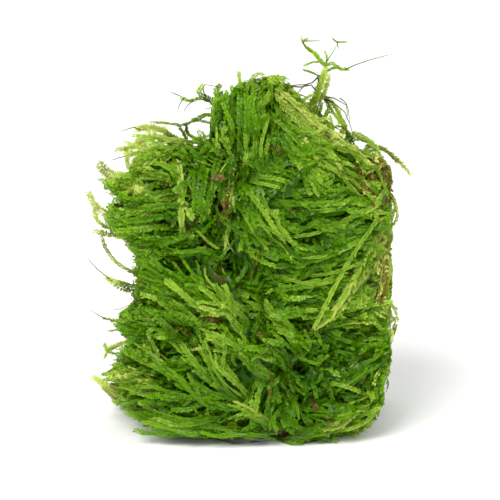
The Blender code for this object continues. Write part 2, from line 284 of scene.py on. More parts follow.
moss, tree, output = new_material("wet moss leaf")
chart = add_node(tree, "ShaderNodeUVMap", uv_map=CHART).outputs[0]
spread = add_node(tree, "ShaderNodeSeparateXYZ", links={"Vector": chart})
# The darkest root colours are partly old stems and partly painted shade deep among the fronds
root_tone = add_node(
    tree, "ShaderNodeValToRGB", links={"Fac": spread.outputs["X"]},
    stops=[
        (0.0, "#1c3c00"), (1.0, "#3a2a10"), (0.4, "#366a00"),
        (0.65, "#568608"), (0.8, "#80961a"), (0.88, "#4d3e12"),
    ],
).outputs[0]
# The palest tip colour, at 0.8, is partly pale new growth and partly a painted wet sheen and glow
tip_tone = add_node(
    tree, "ShaderNodeValToRGB", links={"Fac": spread.outputs["X"]},
    stops=[
        (0.0, "#417a00"), (1.0, "#75602c"), (0.4, "#7eb60c"),
        (0.65, "#bcdc4a"), (0.8, "#f6f690"), (0.88, "#9a9030"),
    ],
).outputs[0]
# How far up the chart a face is, mixing root and tip colours: old growth with painted root shade, and a
# painted edge sheen
up_chart_mix = add_node(
    tree, "ShaderNodeValToRGB", links={"Fac": spread.outputs["Y"]},
    stops=[(0.02, "#000000"), (0.9, "#ffffff")],
).outputs[0]
leaf_tone = add_node(tree, "ShaderNodeMix", data_type="RGBA", clamp_factor=True)
tree.links.new(up_chart_mix, leaf_tone.inputs["Factor"])
tree.links.new(root_tone, leaf_tone.inputs["A"])
tree.links.new(tip_tone, leaf_tone.inputs["B"])
tone = leaf_tone.outputs["Result"]
wet = add_node(
    tree, "ShaderNodeBsdfPrincipled",
    {"Roughness": 0.28, "IOR": 1.33, "Specular IOR Level": 0.4},
    {"Base Color": tone},
)
glow = add_node(tree, "ShaderNodeBsdfTranslucent", links={"Color": tone})
mixed = add_node(
    tree, "ShaderNodeMixShader", {0: LIGHT_THROUGH}, {1: wet.outputs[0], 2: glow.outputs[0]},
)
tree.links.new(mixed.outputs[0], output.inputs["Surface"])
print("chart from", CHART, "with", len(tree.nodes), "nodes")

# %% [markdown]
# ## One frond
# A frond is a thread with two rows of leaves that overlap like tiles. It repeats thousands of
# times, so it has only a few dozen faces: a leaf is one kite-shaped face, and the thread has
# three sides. The leaf is a circle with four corners, pulled to shape in edit mode. An Array
# modifier lays it along the thread, and a Mirror modifier makes the other row.

# %% Model the leaf rows and the thread
LEAF_LENGTH = 1.5
LEAF_WIDTH = 1.12
LEAF_ANGLE = 34
LEAF_FOLD = 0.1
LEAF_TILT = 0.22
LEAF_TURN = 7
LEAF_BROAD_BASE = 0.16
LEAF_SPACING = 0.9
THREAD_RADIUS = 0.14
THREAD_STEPS = 4
THREAD_TAPER = 0.82


def mesh_points(piece):
    """A mesh's points, in millimetres."""
    found = np.empty(len(piece.data.vertices) * 3, np.float32)
    piece.data.vertices.foreach_get("co", found)
    return found.reshape(-1, 3).astype(float) / MM


def mesh_quads(piece):
    """A mesh's faces that have four corners."""
    return np.array([list(face.vertices) for face in piece.data.polygons if len(face.vertices) == 4])


def leaf_rows(pairs, fineness):
    """Two rows of kite-shaped leaves along +X: their points, in millimetres, and their faces."""
    leaf_length = LEAF_LENGTH * (1 + fineness) / 2
    bpy.ops.object.select_all(action="DESELECT")
    bpy.ops.mesh.primitive_circle_add(vertices=4, radius=leaf_length / 2 * MM, fill_type="NGON")
    leaf = bpy.context.active_object
    bpy.ops.object.mode_set(mode="EDIT")
    bpy.ops.mesh.select_all(action="SELECT")
    bpy.ops.transform.resize(value=(1, LEAF_WIDTH * fineness / leaf_length, 1))
    bpy.ops.transform.translate(value=(leaf_length / 2 * MM, 0, 0))
    # Without a window a rotation turns the other way, so the angle is negative here
    bpy.ops.transform.rotate(
        value=-math.radians(LEAF_ANGLE), orient_axis="Z", center_override=(0, 0, 0)
    )
    bpy.ops.transform.translate(value=(0, THREAD_RADIUS * MM / 2, 0))
    bpy.ops.object.mode_set(mode="OBJECT")
    apply_modifier(
        leaf, "ARRAY", count=pairs, use_relative_offset=False, use_constant_offset=True,
        constant_offset_displace=(LEAF_SPACING * fineness * MM, 0, 0),
    )
    apply_modifier(leaf, "MIRROR", use_axis=(False, True, False), use_mirror_merge=False)
    points, quads = mesh_points(leaf), mesh_quads(leaf)
    bpy.data.objects.remove(leaf)
    return points, quads


def thread(length):
    """A thread with three sides along +X, thinner towards its tip: its points and its faces."""
    bpy.ops.object.select_all(action="DESELECT")
    bpy.ops.mesh.primitive_circle_add(
        vertices=3, radius=THREAD_RADIUS * MM, fill_type="NOTHING", rotation=(0, math.pi / 2, 0)
    )
    stem = bpy.context.active_object
    bpy.ops.object.transform_apply()
    bpy.ops.object.mode_set(mode="EDIT")
    bpy.ops.mesh.select_all(action="SELECT")
    for _ in range(THREAD_STEPS):
        step = (length / THREAD_STEPS * MM, 0, 0)
        bpy.ops.mesh.extrude_region_move(TRANSFORM_OT_translate={"value": step})
        bpy.ops.transform.resize(value=(1, THREAD_TAPER, THREAD_TAPER))
    bpy.ops.mesh.merge(type="CENTER")
    bpy.ops.mesh.select_all(action="SELECT")
    bpy.ops.mesh.normals_make_consistent(inside=False)
    bpy.ops.object.mode_set(mode="OBJECT")
    points = mesh_points(stem)
    faces = [list(face.vertices) for face in stem.data.polygons]
    bpy.data.objects.remove(stem)
    # The last ring is one point, so its faces have three corners: the last corner is repeated
    return points, np.array([face + face[-1:] * (4 - len(face)) for face in faces])


print("a leaf is", LEAF_LENGTH, "mm long, and a thread", 2 * THREAD_RADIUS, "mm thick")

# %% [markdown]
# No two fronds are alike, so each kind is varied: leaves grow smaller towards both ends, and each
# one is turned, folded and sized a little differently. A frond's points are kept as numbers: how
# far along it is from 0 to 1, then millimetres to its side and above it.

# %% Make the kinds of frond
# Each kind: how many pairs of leaves, how many variants, how stout its thread is and how fine its
# leaves are. The fine ones lie on top, where they are seen best.
KINDS = {
    "long": (21, 5, 1, 1), "short": (10, 4, 1, 1), "bare": (0, 1, 1, 1),
    "fine": (32, 4, 1, 0.65), "shoot": (36, 4, 2, 0.6), "sprout": (18, 3, 2, 0.6),
}
FEWEST_PAIRS = 12
# A leaf's size at the root and the tip, as a share, and how soon it is full size from there
ROOT_LEAF, ROOT_GAIN = 0.7, 1.6
TIP_LEAF, TIP_GAIN = 0.65, 2.2
LEAF_SIZES = (0.72, 1.2)
LEAF_RISE = 0.08
THREAD_SHIFT = -0.02
LEAF_SHIFT = 0.03
LEAF_AGES = (-0.12, 0.06)
SEED = 7
dice = np.random.default_rng(SEED)


def varied(points, length):
    """The leaf rows with each leaf broad at its base, and sized, turned and folded at random."""
    leaves = points.reshape(-1, 4, 3).copy()
    root = int(np.abs(leaves[0, :, 1]).argmin())
    base, tip = leaves[:, [root]], leaves[:, [(root + 2) % 4]]
    for side in (1, 3):
        leaves[:, [(root + side) % 4]] -= (tip - base) * LEAF_BROAD_BASE
    along = base[:, 0, 0] / length
    size = np.minimum(1, ROOT_LEAF + ROOT_GAIN * along) * np.minimum(1, TIP_LEAF + TIP_GAIN * (1 - along))
    size = size * dice.uniform(*LEAF_SIZES, len(leaves))
    leaves = (leaves - base) * size[:, None, None]
    turn = np.radians(dice.normal(0, LEAF_TURN, len(leaves)))[:, None]
    x, y = leaves[:, :, 0].copy(), leaves[:, :, 1].copy()
    leaves[:, :, 0] = x * np.cos(turn) - y * np.sin(turn)
    leaves[:, :, 1] = x * np.sin(turn) + y * np.cos(turn)
    tip_side = np.abs(leaves).sum(2)
    share = tip_side / tip_side.max(1, keepdims=True)
    leaves[:, :, 2] += share * dice.normal(LEAF_RISE, LEAF_TILT, (len(leaves), 1))
    leaves[:, :, 2] += LEAF_FOLD * dice.uniform(0, 1, (len(leaves), 4))
    return (leaves + base).reshape(-1, 3)


def frond_kind(pairs, stout, fineness):
    """One frond: its points and faces, and how far each face is shifted across and up the chart."""
    length = max(pairs, FEWEST_PAIRS) * LEAF_SPACING * fineness
    points, faces = thread(length)
    points[:, 1:] *= stout
    shifts, ages = np.full(len(faces), THREAD_SHIFT), np.zeros(len(faces))
    if pairs:
        rows, quads = leaf_rows(pairs, fineness)
        faces = np.concatenate([faces, quads + len(points)])
        points = np.concatenate([points, varied(rows, length)])
        shifts = np.concatenate([shifts, dice.normal(0, LEAF_SHIFT, len(quads))])
        ages = np.concatenate([ages, dice.uniform(*LEAF_AGES, len(quads))])
    points[:, 0] /= length
    return {"points": points, "faces": faces, "shifts": shifts, "ages": ages}


fronds = {
    name: [frond_kind(pairs, stout, fineness) for _ in range(count)]
    for name, (pairs, count, stout, fineness) in KINDS.items()
}
print({name: len(made[0]["faces"]) for name, made in fronds.items()}, "faces in a frond")

# %% [markdown]
# ## What the camera sees
# The outline and the listed fronds are given as places in the picture, so two functions turn
# points into places and back, with the camera's own perspective. A place is in millimetres at the
# distance of the point that the camera looks at: across from the picture's middle, and up from
# its floor line. A point also has its depth behind that target.

# %% Between points and places in the picture
TARGET = np.array([0, 0, VIEW_HEIGHT / MM])
CAMERA_AWAY = VIEW_DISTANCE / MM
AHEAD = np.array([0, math.cos(VIEW_ELEVATION), -math.sin(VIEW_ELEVATION)])
UPWARD = np.array([0, math.sin(VIEW_ELEVATION), math.cos(VIEW_ELEVATION)])
# How far the picture's middle is over its floor line
MIDDLE_UP = 52.9


def seen(points):
    """Where the camera sees each point: across and up the picture, and how far behind the target."""
    offsets = points - TARGET
    ahead = offsets @ AHEAD
    scale = CAMERA_AWAY / (CAMERA_AWAY + ahead)
    return offsets[..., 0] * scale, offsets @ UPWARD * scale + MIDDLE_UP, ahead


def point_seen(across, up, ahead):
    """The points that the camera sees at these places of the picture, this far behind the target."""
    scale = (CAMERA_AWAY + ahead) / CAMERA_AWAY
    right, rise = (across * scale)[..., None], ((up - MIDDLE_UP) * scale)[..., None]
    place = right * np.array([1, 0, 0]) + rise * UPWARD
    return TARGET + place + ahead[..., None] * AHEAD


print("the foot's middle is seen", round(float(seen(np.zeros(3))[1]), 1), "mm over the floor line")

# %% [markdown]
# The moss fills an outline. As the camera sees it, a roof and a hem are given as heights at places
# across, and the two sides as places across at heights, where the left side is ragged. A depth at
# each height stands for the front and back, and it is less towards the sides. Lines bend along
# most of the outline when they come near it, and what still passes it is cut off later.

# %% The outline that the moss fills
ROOF = np.array([
    (-44, 66), (-41, 75), (-37, 72.5), (-33, 74), (-31, 78), (-24, 81), (-14, 82),
    (-10.6, 84), (-9.8, 93), (-8.5, 97), (-6, 94.5), (-3, 98.5), (4, 100), (8, 99.5),
    (11, 98), (16, 91), (24, 84), (33, 77), (40, 69),
], float)
HEM = np.array([
    (-40, 12.5), (-34, 7.8), (-27, 4.6), (-20, 3.6), (-13, 2.2), (-6, 1.2), (0, 0.4),
    (24, 0), (30, 1.4), (36, 5.5),
], float)
LEFT = np.array([
    (0, -11), (4, -27), (8, -34), (18, -41), (24, -36), (29, -33), (33, -38), (38, -32),
    (48, -31.5), (51, -31), (54, -32.5), (59, -38), (63, -39.5), (65, -38.5), (66.4, -35.8),
    (69, -38.3), (71.8, -40.3), (75, -41), (77, -33), (81, -30),
], float)
RIGHT = np.array([
    (0, 26), (4, 32), (8, 34.6), (14, 37), (24, 38.3), (44, 38.5), (49, 37), (56, 38.5),
    (66, 38.5), (72, 37.5),
], float)
# How far the bundle reaches to the front and back at some heights over the floor
DEEP = np.array([
    (0, 23.5), (8, 26), (25, 27.3), (50, 27), (68, 23.5), (80, 19), (90, 15), (100, 9),
], float)
# How far across that depth would come to nothing
ROUND_ACROSS = 58.0
# Lines are bent fully this near the outline, and less and less over the next few millimetres
BENT_FULLY, BEND_WITHIN = 1, 5.0
OUT_AND_UP = 0.4
# Fronds may pass the ragged left side a little, but not the others
LEFT_MARGIN, LEFT_PASSED = 2.2, 1
HEM_MARGIN = 0.6
FLOOR_GAP = 0.4


def unit(rows):
    """Each direction made one long."""
    return rows / np.maximum(np.linalg.norm(rows, axis=-1, keepdims=True), 1e-9)


def roof_room(points):
    """How far under the outline's roof each point is, as the camera sees it."""
    across, up, _ = seen(points)
    return np.interp(across, *ROOF.T) - up


def hem_room(points):
    """How far over the outline's hem each point is, as the camera sees it."""
    across, up, _ = seen(points)
    return up - np.interp(across, *HEM.T)


def side_rooms(points):
    """How far each point is from the outline's left and right sides, as the camera sees it."""
    across, up, _ = seen(points)
    return across - np.interp(up, *LEFT.T), np.interp(up, *RIGHT.T) - across


def deep_room(points):
    """How far each point is from the bundle's front or back, whichever is nearer."""
    across = np.sqrt(1 - (np.clip(points[..., 0] / ROUND_ACROSS, -0.9, 0.9)) ** 2)
    return np.interp(points[..., 2], *DEEP.T) * across - np.abs(points[..., 1])


def turned_back(points, ways):
    """The ways, less the part that would soon pass the roof, right side, front, back or floor."""
    step = 1.0
    ahead = roof_room(points + np.array([step, 0, 0])) - roof_room(points)
    normals = unit(np.stack([-ahead, np.full(len(points), math.sin(VIEW_ELEVATION)),
                             np.full(len(points), math.cos(VIEW_ELEVATION))], 1))
    rooms = [(normals, roof_room(points))]
    rooms.append((np.array([[1.0, 0, 0]]), side_rooms(points)[1]))
    outward = np.sign(points[:, 1:2]) * np.array([[0, 1.0, 0]]) + np.array([[0, 0, OUT_AND_UP]])
    rooms.append((unit(outward), deep_room(points)))
    rooms.append((np.array([[0, 0, -1.0]]), points[:, 2]))
    for normal, room in rooms:
        share = np.clip(1 - (room - BENT_FULLY) / BEND_WITHIN, 0, 1)
        ways = ways - normal * (share * np.maximum((ways * normal).sum(1), 0))[:, None]
    return unit(ways)


def outside(lines, margin):
    """True at each knot that is past the outline, less each line's margin, which is wider on the left."""
    left, right = side_rooms(lines)
    wide = (right < margin) | (left < LEFT_MARGIN * margin - LEFT_PASSED)
    deep = deep_room(lines) < margin / 2
    low = (lines[..., 2] < FLOOR_GAP) | (hem_room(lines) < HEM_MARGIN)
    return wide | deep | low | (roof_room(lines) < margin)


print("the roof is", ROOF[:, 1].max(), "mm up")
print("the sides are", RIGHT[:, 1].max() - LEFT[:, 1].min(), "mm apart at most")

# %% [markdown]
# ## The mat under each tuft
# Under the green, old stems are felted into a mat. It is dark partly for these old stems and partly
# as painted shade deep inside the tuft. It is a small ball at the tuft's middle, blown up with a
# Shrinkwrap modifier until it meets the inside of the CAD solid, then smoothed and drawn in a
# little. Where the outline is near it is pressed in, so that fronds have room to lie on it.

# %% Make the mats
# Each tuft's middle, in millimetres
TUFTS = {
    "moss_crown": (8, -5, 82),
    "moss_upper_left": (-20, -8, 66),
    "moss_right": (17, -11, 51),
    "moss_lower_left": (-14, -14, 27),
    "moss_lower_right": (25, -10, 14),
    "moss_back_upper": (2, 12, 66),
    "moss_back_lower": (-3, 15, 26),
}
BALL_RADIUS = 0.5
MAT_DETAIL = 5
MAT_SMOOTHING = 8
MAT_INSET = 0.9
MAT_ROUGHNESS = 0.45
FROND_ROOM = 4.5
HEM_ROOM = 1.5
PRESSED_MOST = 7.0


def pressed_in(piece):
    """Press a mat in where the outline is near, so that fronds have room over it."""
    points = mesh_points(piece)
    left, right = side_rooms(points)
    from_left, from_right = np.clip(FROND_ROOM - np.stack([left, right]), 0, PRESSED_MOST)
    points[:, 0] += from_left - from_right
    points[:, 2] -= np.clip(FROND_ROOM - roof_room(points), 0, PRESSED_MOST)
    points[:, 2] += np.clip(HEM_ROOM - hem_room(points), 0, PRESSED_MOST) * (points[:, 1] < 0)
    points[:, 1] -= np.sign(points[:, 1]) * np.clip(FROND_ROOM - deep_room(points), 0, PRESSED_MOST)
    points += dice.normal(0, MAT_ROUGHNESS, points.shape)
    piece.data.vertices.foreach_set("co", (points * MM).ravel())
    piece.data.update()


def mat(tuft):
    """A tuft's mat, blown up from a ball."""
    bpy.ops.object.select_all(action="DESELECT")
    bpy.ops.mesh.primitive_ico_sphere_add(
        subdivisions=MAT_DETAIL, radius=BALL_RADIUS * MM, location=Vector(TUFTS[tuft]) * MM
    )
    ball = bpy.context.active_object
    bpy.ops.object.transform_apply()
    apply_modifier(
        ball, "SHRINKWRAP", target=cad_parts[tuft], wrap_method="PROJECT",
        use_positive_direction=True, use_negative_direction=False,
    )
    apply_modifier(ball, "SMOOTH", factor=0.5, iterations=MAT_SMOOTHING)
    apply_modifier(ball, "DISPLACE", strength=-MAT_INSET * MM, mid_level=0.0)
    pressed_in(ball)
    return ball


def surface_of(piece):
    """The piece's surface, to find the nearest place on it, in millimetres."""
    faces = [list(face.vertices) for face in piece.data.polygons]
    return BVHTree.FromPolygons([Vector(p) for p in mesh_points(piece)], faces)


mats = {tuft: mat(tuft) for tuft in TUFTS}
surfaces = {tuft: surface_of(piece) for tuft, piece in mats.items()}
inside = [surface_of(piece) for piece in wood.values()]
for tuft, piece in mats.items():
    print(tuft, "mat", [round(side / MM, 1) for side in piece.dimensions], "mm")

# %% [markdown]
# ## How the moss lies
# In the photograph the fronds are combed away from partings in the bundle. The comb is a list of
# strokes: a place, and the way the fronds point there in the front view, where 0 degrees is to
# the right and 90 is up. In between, near strokes count most.

# %% The comb and the shades
COMB = [
    (-4, -12, 88, 96), (4, -12, 88, 84), (-3, -14, 79, 94), (6, -14, 80, 70),
    (16, -12, 84, -38), (28, -10, 76, -38), (14, -15, 77, -30), (0, -19, 67, -66),
    (-16, -14, 78, 150), (-28, -14, 72, 155), (-34, -8, 58, 178), (-16, -20, 62, 172),
    (6, -20, 62, -12), (20, -20, 64, -2), (32, -18, 60, -8), (14, -22, 44, 8),
    (28, -20, 40, 2), (2, -22, 44, -40), (-12, -22, 44, 150), (-34, -10, 44, 152),
    (0, -22, 28, 128), (-16, -22, 30, 142), (-34, -10, 26, 160), (-10, -22, 12, 165),
    (-34, -8, 8, 178), (18, -22, 22, 20), (28, -20, 10, 30), (16, -22, 5, -20),
    (-2, -22, 4, 190), (6, -22, 16, -105), (12, -22, 14, -75), (36, 0, 66, -75),
    (37, 0, 48, -85), (37, 0, 30, -80), (36, 0, 12, 50), (-4, 12, 88, 98),
    (18, 12, 80, -35), (-24, 12, 74, 150), (0, 18, 68, 110), (-28, 16, 52, 172),
    (28, 16, 60, -14), (0, 22, 48, -95), (-26, 18, 26, 195), (26, 18, 28, -20),
    (0, 22, 24, -80), (-14, 22, 8, 200), (18, 22, 8, -15),
]
COMB_REACH = 4
# Places in millimetres and how pale the moss is there, from 0 to 0.8: partly the moss's own tone, and partly
# a painted glow of light through the thin fronds along the top and the outer edges
SHADES = [
    (-25, -14, 66, 0.6), (-28, -8, 74, 0.66), (-42, -6, 50, 0.74), (0, -14, 86, 0.54),
    (14, -6, 92, 0.78), (26, -6, 83, 0.78), (34, -6, 76, 0.78), (28, -16, 71, 0.3),
    (16, -18, 72, 0.34), (33, -14, 62, 0.3), (20, -22, 52, 0.2), (33, -16, 55, 0.76),
    (29, -18, 45, 0.66), (-14, -24, 32, 0.3), (24, -22, 16, 0.26), (-8, -20, 56, 0.3),
    (0, -22, 4, 0.3), (-40, -8, 12, 0.72), (36, -12, 50, 0.72), (37, -10, 58, 0.78),
    (37, -10, 66, 0.76), (37, -8, 42, 0.72), (27, -24, 4, 0.62), (10, -22, 24, 0.4),
    (0, 22, 66, 0.42), (-22, 18, 40, 0.45), (22, 18, 40, 0.38), (0, 24, 14, 0.34),
]
strokes, shades = np.array(COMB, float), np.array(SHADES, float)


def nearness(points, places):
    """How much each place counts at each point: near ones most, and a point's add up to 1."""
    gaps = np.linalg.norm(points[:, None] - places[None, :, :3], axis=2) + 1
    weights = gaps ** -float(COMB_REACH)
    return weights / weights.sum(1, keepdims=True)


def combed(points, turns):
    """The way the moss points at each place, turned by some degrees in the front view."""
    angles = np.radians(strokes[:, 3])
    ways = nearness(points, strokes) @ np.stack([np.cos(angles), np.sin(angles)], 1)
    angles = np.arctan2(ways[:, 1], ways[:, 0]) + np.radians(turns)
    return np.stack([np.cos(angles), np.zeros(len(points)), np.sin(angles)], 1)


def nearest(surface, points):
    """The nearest place on a surface to each point, and the way out there."""
    found = [surface.find_nearest(point) for point in points.tolist()]
    return np.array([f[0] for f in found]), np.array([f[1] for f in found])


print(len(strokes), "strokes and", len(shades), "shades")

# %% [markdown]
# Fronds leave the mat where nothing covers it. Each face of the mat is tried with a ray: where
# the ray meets wood or another mat soon, the face is inside a parting, and fewer fronds grow.

# %% Find where fronds can grow
RAY_START = 0.2
# The underside starts this low, where the mat faces down at least this much
UNDERSIDE_HEIGHT, UNDERSIDE_SLOPE = 3, -0.6
OPEN_ROOM = 7.0
IN_PARTING = 1.2
COVERED = 0.06


def growing_places(tuft):
    """The middle of each face of a tuft's mat, the way out there and the area to plant."""
    faces = mats[tuft].data.polygons
    centres = np.array([face.center for face in faces]) / MM
    outs = np.array([face.normal for face in faces])
    areas = np.array([face.area for face in faces]) / MM**2
    others = inside + [surface for other, surface in surfaces.items() if other != tuft]
    from_axis = (unit(centres * (1, 1, 0)) * outs).sum(1)
    for index, (centre, out) in enumerate(zip(centres.tolist(), outs.tolist())):
        start = Vector(centre) + Vector(out) * RAY_START
        if centre[2] < UNDERSIDE_HEIGHT and out[2] < UNDERSIDE_SLOPE:
            areas[index] = 0
        elif any(other.ray_cast(start, Vector(out), OPEN_ROOM)[0] for other in others):
            areas[index] *= IN_PARTING if from_axis[index] > 0 else COVERED
    return centres, outs, areas


def picked_places(tuft, count):
    """Places taken at random, in step with the area to plant."""
    centres, outs, areas = places_to_grow[tuft]
    picks = dice.choice(len(areas), count, p=areas / areas.sum())
    return centres[picks], outs[picks]


places_to_grow = {tuft: growing_places(tuft) for tuft in TUFTS}
print("mm2 to plant:", {tuft: round(areas.sum()) for tuft, (_, _, areas) in places_to_grow.items()})

# %% [markdown]
# ## Planting
# Wet moss hangs together in locks. Each lock has a middle line that starts on the mat, lifts off
# it and follows the comb, and it bends along the outline instead of leaving it. Its fronds start
# and end at different places along that line, spread at their roots and closer at their tips.

# %% Draw the locks
KNOTS = 10
PLACES_TRIED = 5
LOCK_AREA = {"front": 47.0, "back": 49.0}
LOCK_LENGTHS = (20.0, 31.0)
LOCK_TURN = 11.0
LOCK_LIFTS = (0.05, 0.75)
LOCK_SAG = 0.16
# A lock's lift fades along it, and near the tip it turns into a dip
LIFT_LOST = 1.25
LOCK_TONES = 0.08
ROOT_DEPTH = 0.6


def side_of(tuft):
    """The side of the bundle that a tuft is on."""
    return "back" if "back" in tuft else "front"


def spread_places(tuft):
    """Places for the locks, moved apart: of many random places, each next one is the farthest."""
    count = round(places_to_grow[tuft][2].sum() / LOCK_AREA[side_of(tuft)])
    places, outs = picked_places(tuft, count * PLACES_TRIED)
    gaps = np.full(len(places), np.inf)
    chosen = [0]
    while len(chosen) < count:
        gaps = np.minimum(gaps, np.linalg.norm(places - places[chosen[-1]], axis=1))
        chosen.append(int(gaps.argmax()))
    return places[chosen], outs[chosen]


def lock_lines(surface, places, outs, lengths, turns, lifts):
    """Middle lines of locks, and the way out along them, both as lock, knot and x, y, z."""
    points, lines, ways_out = places - outs * ROOT_DEPTH, [], []
    for knot in range(KNOTS):
        _, out = nearest(surface, points)
        lines.append(points)
        ways_out.append(out)
        way = combed(points, turns)
        way = unit(way - out * np.minimum((way * out).sum(1), 0)[:, None])
        lift = lifts * (1 - LIFT_LOST * knot / KNOTS)
        way = way + out * lift[:, None] - np.array([0, 0, LOCK_SAG * knot / KNOTS])
        points = points + turned_back(points, unit(way)) * (lengths / (KNOTS - 1))[:, None]
    return np.stack(lines, 1), np.stack(ways_out, 1)


def draw_locks(tuft):
    """A tuft's locks: their middle lines, the ways out along them and their tones."""
    places, outs = spread_places(tuft)
    count = len(places)
    lines, ways_out = lock_lines(
        surfaces[tuft], places, outs, dice.uniform(*LOCK_LENGTHS, count),
        dice.normal(0, LOCK_TURN, count), dice.uniform(*LOCK_LIFTS, count),
    )
    # A lock's tone: the near shades, which hold some painted glow at the top and the edges, and a random part
    tones = nearness(places, shades) @ shades[:, 3] + dice.normal(0, LOCK_TONES, count)
    return {"lines": lines, "outs": ways_out, "tones": tones}


locks = {tuft: draw_locks(tuft) for tuft in TUFTS}
print("locks:", {tuft: len(made["lines"]) for tuft, made in locks.items()})

# %% [markdown]
# A lock's fronds each follow a share of its middle line, off to one side and some way above it,
# and they wave and bend on their own. Fronds are cut back where they pass the outline. Some send
# out a short side shoot, and where few pass, short fronds of felt cover the mat, painted darker as
# shade deep under the others.

# %% Set the fronds along the locks
FRONDS_IN_LOCK = 9
FROND_STARTS = (0, 0.38)
FROND_SHARES = (0.5, 0.8)
SPREAD = 2.6
TIP_SPREAD = 0.45
LAYER = 1.8
BEND = 2.6
WAVES = (4.0, 11.0)
WAVE_HEIGHT = 0.55
# A frond has risen to its height after one part in this many of its length
RISEN_BY = 4
TIP_RISE, TIP_RISES = 0.3, 0.9
FROND_TONES = 0.06
# Fronds low in a lock are painted darker and high ones paler: painted shade under the upper fronds
PAINTED_LAYER_SHADE = 0.16
CUT_MARGIN = 1.0
FROND_WIDTHS = (0.35, 0.95)
SHORTEST = 6.0
SHORTEST_SHOOT = 3.0
# Side shoots: how many fronds have one, the shares of the frond where it starts and that it is long,
# how far it turns aside as a share of its length, how soon, and how it lifts
WITH_SHOOT = 0.55
SHOOT_STARTS, SHOOT_LENGTHS = (0.25, 0.65), (0.3, 0.45)
SHOOT_TURNS, SHOOT_CURVE = (0.35, 0.75), 0.8
SHOOT_LIFTS = (-0.5, 1.5)
SHOOT_PALER = 0.03
FELT_AREA = {"front": 3.0, "back": 7.5}
FELT_LENGTHS = (6.0, 12.0)
FELT_LIFTS = (0.15, 0.6)
FELT_TURN = 40.0
# Felt lies deep under the other fronds, so its tone is painted darker as shade
FELT_PAINTED_SHADE = 0.18
FELT_TONES = 0.09
FELT_REACH = 3.0
FULL_COVER = 40
LEAST_BARE = 0.08
BROWN_SHARE = 0.05


def read_along(rows, shares):
    """Rows (frond, knot, x y z) read at shares of their length, straight from knot to knot."""
    at = np.clip(shares, 0, 1) * (rows.shape[1] - 1)
    low = np.minimum(np.floor(at).astype(int), rows.shape[1] - 2)
    part = (at - low)[..., None]
    index = np.arange(len(rows))[:, None]
    return rows[index, low] * (1 - part) + rows[index, low + 1] * part


def cut_back(lines):
    """Each line kept up to where it leaves the outline, spread over all the knots again."""
    margins = np.abs(dice.normal(0, CUT_MARGIN, (len(lines), 1)))
    out = outside(lines, margins)
    first = np.where(out.any(1), out.argmax(1), KNOTS)
    keep = np.maximum(first - 1, 0) / (KNOTS - 1)
    shares = np.linspace(0, 1, KNOTS)[None] * keep[:, None]
    return read_along(lines, shares)


def measured(lines):
    """How long each line is."""
    return np.linalg.norm(np.diff(lines, axis=1), axis=2).sum(1)


def kept(lines, outs, tones, shortest):
    """The lines that are long enough, with what goes with them."""
    lengths = measured(lines)
    good = lengths > shortest
    return {"lines": lines[good], "outs": outs[good], "tones": tones[good], "lengths": lengths[good]}


def set_fronds(tuft):
    """A tuft's long fronds: their lines, the ways out along them, their tones and their lengths."""
    made = locks[tuft]
    lock = np.repeat(np.arange(len(made["lines"])), FRONDS_IN_LOCK)
    count = len(lock)
    start = dice.uniform(*FROND_STARTS, count)
    end = np.minimum(start + dice.uniform(*FROND_SHARES, count), 1)
    shares = start[:, None] + (end - start)[:, None] * np.linspace(0, 1, KNOTS)[None]
    lines = read_along(made["lines"][lock], shares)
    outs = read_along(made["outs"][lock], shares)
    ways = unit(np.gradient(lines, axis=1))
    sides = unit(np.cross(ways, outs))
    across = dice.uniform(-1, 1, count) * SPREAD
    high = dice.uniform(0, 1, count) * LAYER
    step = np.linspace(0, 1, KNOTS)[None]
    aside = across[:, None] * (1 - step * (1 - TIP_SPREAD))
    aside = aside + dice.normal(0, BEND, count)[:, None] * step**2
    waves = dice.uniform(0, 2 * math.pi, (count, 1)) + dice.uniform(*WAVES, (count, 1)) * step
    aside = aside + WAVE_HEIGHT * np.sin(waves) * step
    tip_rises = dice.normal(TIP_RISE, TIP_RISES, count)[:, None]
    above = high[:, None] * np.minimum(step * RISEN_BY, 1) + tip_rises * step**2
    lines = lines + sides * aside[..., None] + outs * above[..., None]
    # Lower fronds in a lock get painted shade, higher ones painted light
    tones = made["tones"][lock] + dice.normal(0, FROND_TONES, count) + (high / LAYER - 0.5) * PAINTED_LAYER_SHADE
    return kept(cut_back(lines), outs, tones, SHORTEST)


def side_shoots(grown):
    """Short fronds that leave others on one side, from a quarter to two thirds of the way up."""
    count = len(grown["lines"])
    picks = np.flatnonzero(dice.random(count) < WITH_SHOOT)
    start = dice.uniform(*SHOOT_STARTS, len(picks))
    step = np.linspace(0, 1, KNOTS)[None]
    shares = start[:, None] + step * dice.uniform(*SHOOT_LENGTHS, (len(picks), 1))
    lines = read_along(grown["lines"][picks], shares)
    outs = read_along(grown["outs"][picks], shares)
    sides = unit(np.cross(unit(np.gradient(lines, axis=1)), outs))
    turn = dice.choice([-1, 1], len(picks)) * dice.uniform(*SHOOT_TURNS, len(picks)) * measured(lines)
    lines = lines + sides * (turn[:, None] * (step**SHOOT_CURVE))[..., None]
    lines = lines + outs * (dice.uniform(*SHOOT_LIFTS, (len(picks), 1)) * step)[..., None]
    return kept(cut_back(lines), outs, grown["tones"][picks] + SHOOT_PALER, SHORTEST_SHOOT)


def bare_share(tuft, grown):
    """How bare each face of the mat still is: 1 with no frond near it and 0 where many pass."""
    centres, outs, _ = places_to_grow[tuft]
    knots = grown["lines"].reshape(-1, 3)
    tree = KDTree(len(knots))
    for index, knot in enumerate(knots.tolist()):
        tree.insert(knot, index)
    tree.balance()
    found = [len(tree.find_range(place, FELT_REACH)) for place in (centres + outs).tolist()]
    return np.clip(1 - np.array(found) / FULL_COVER, LEAST_BARE, 1)


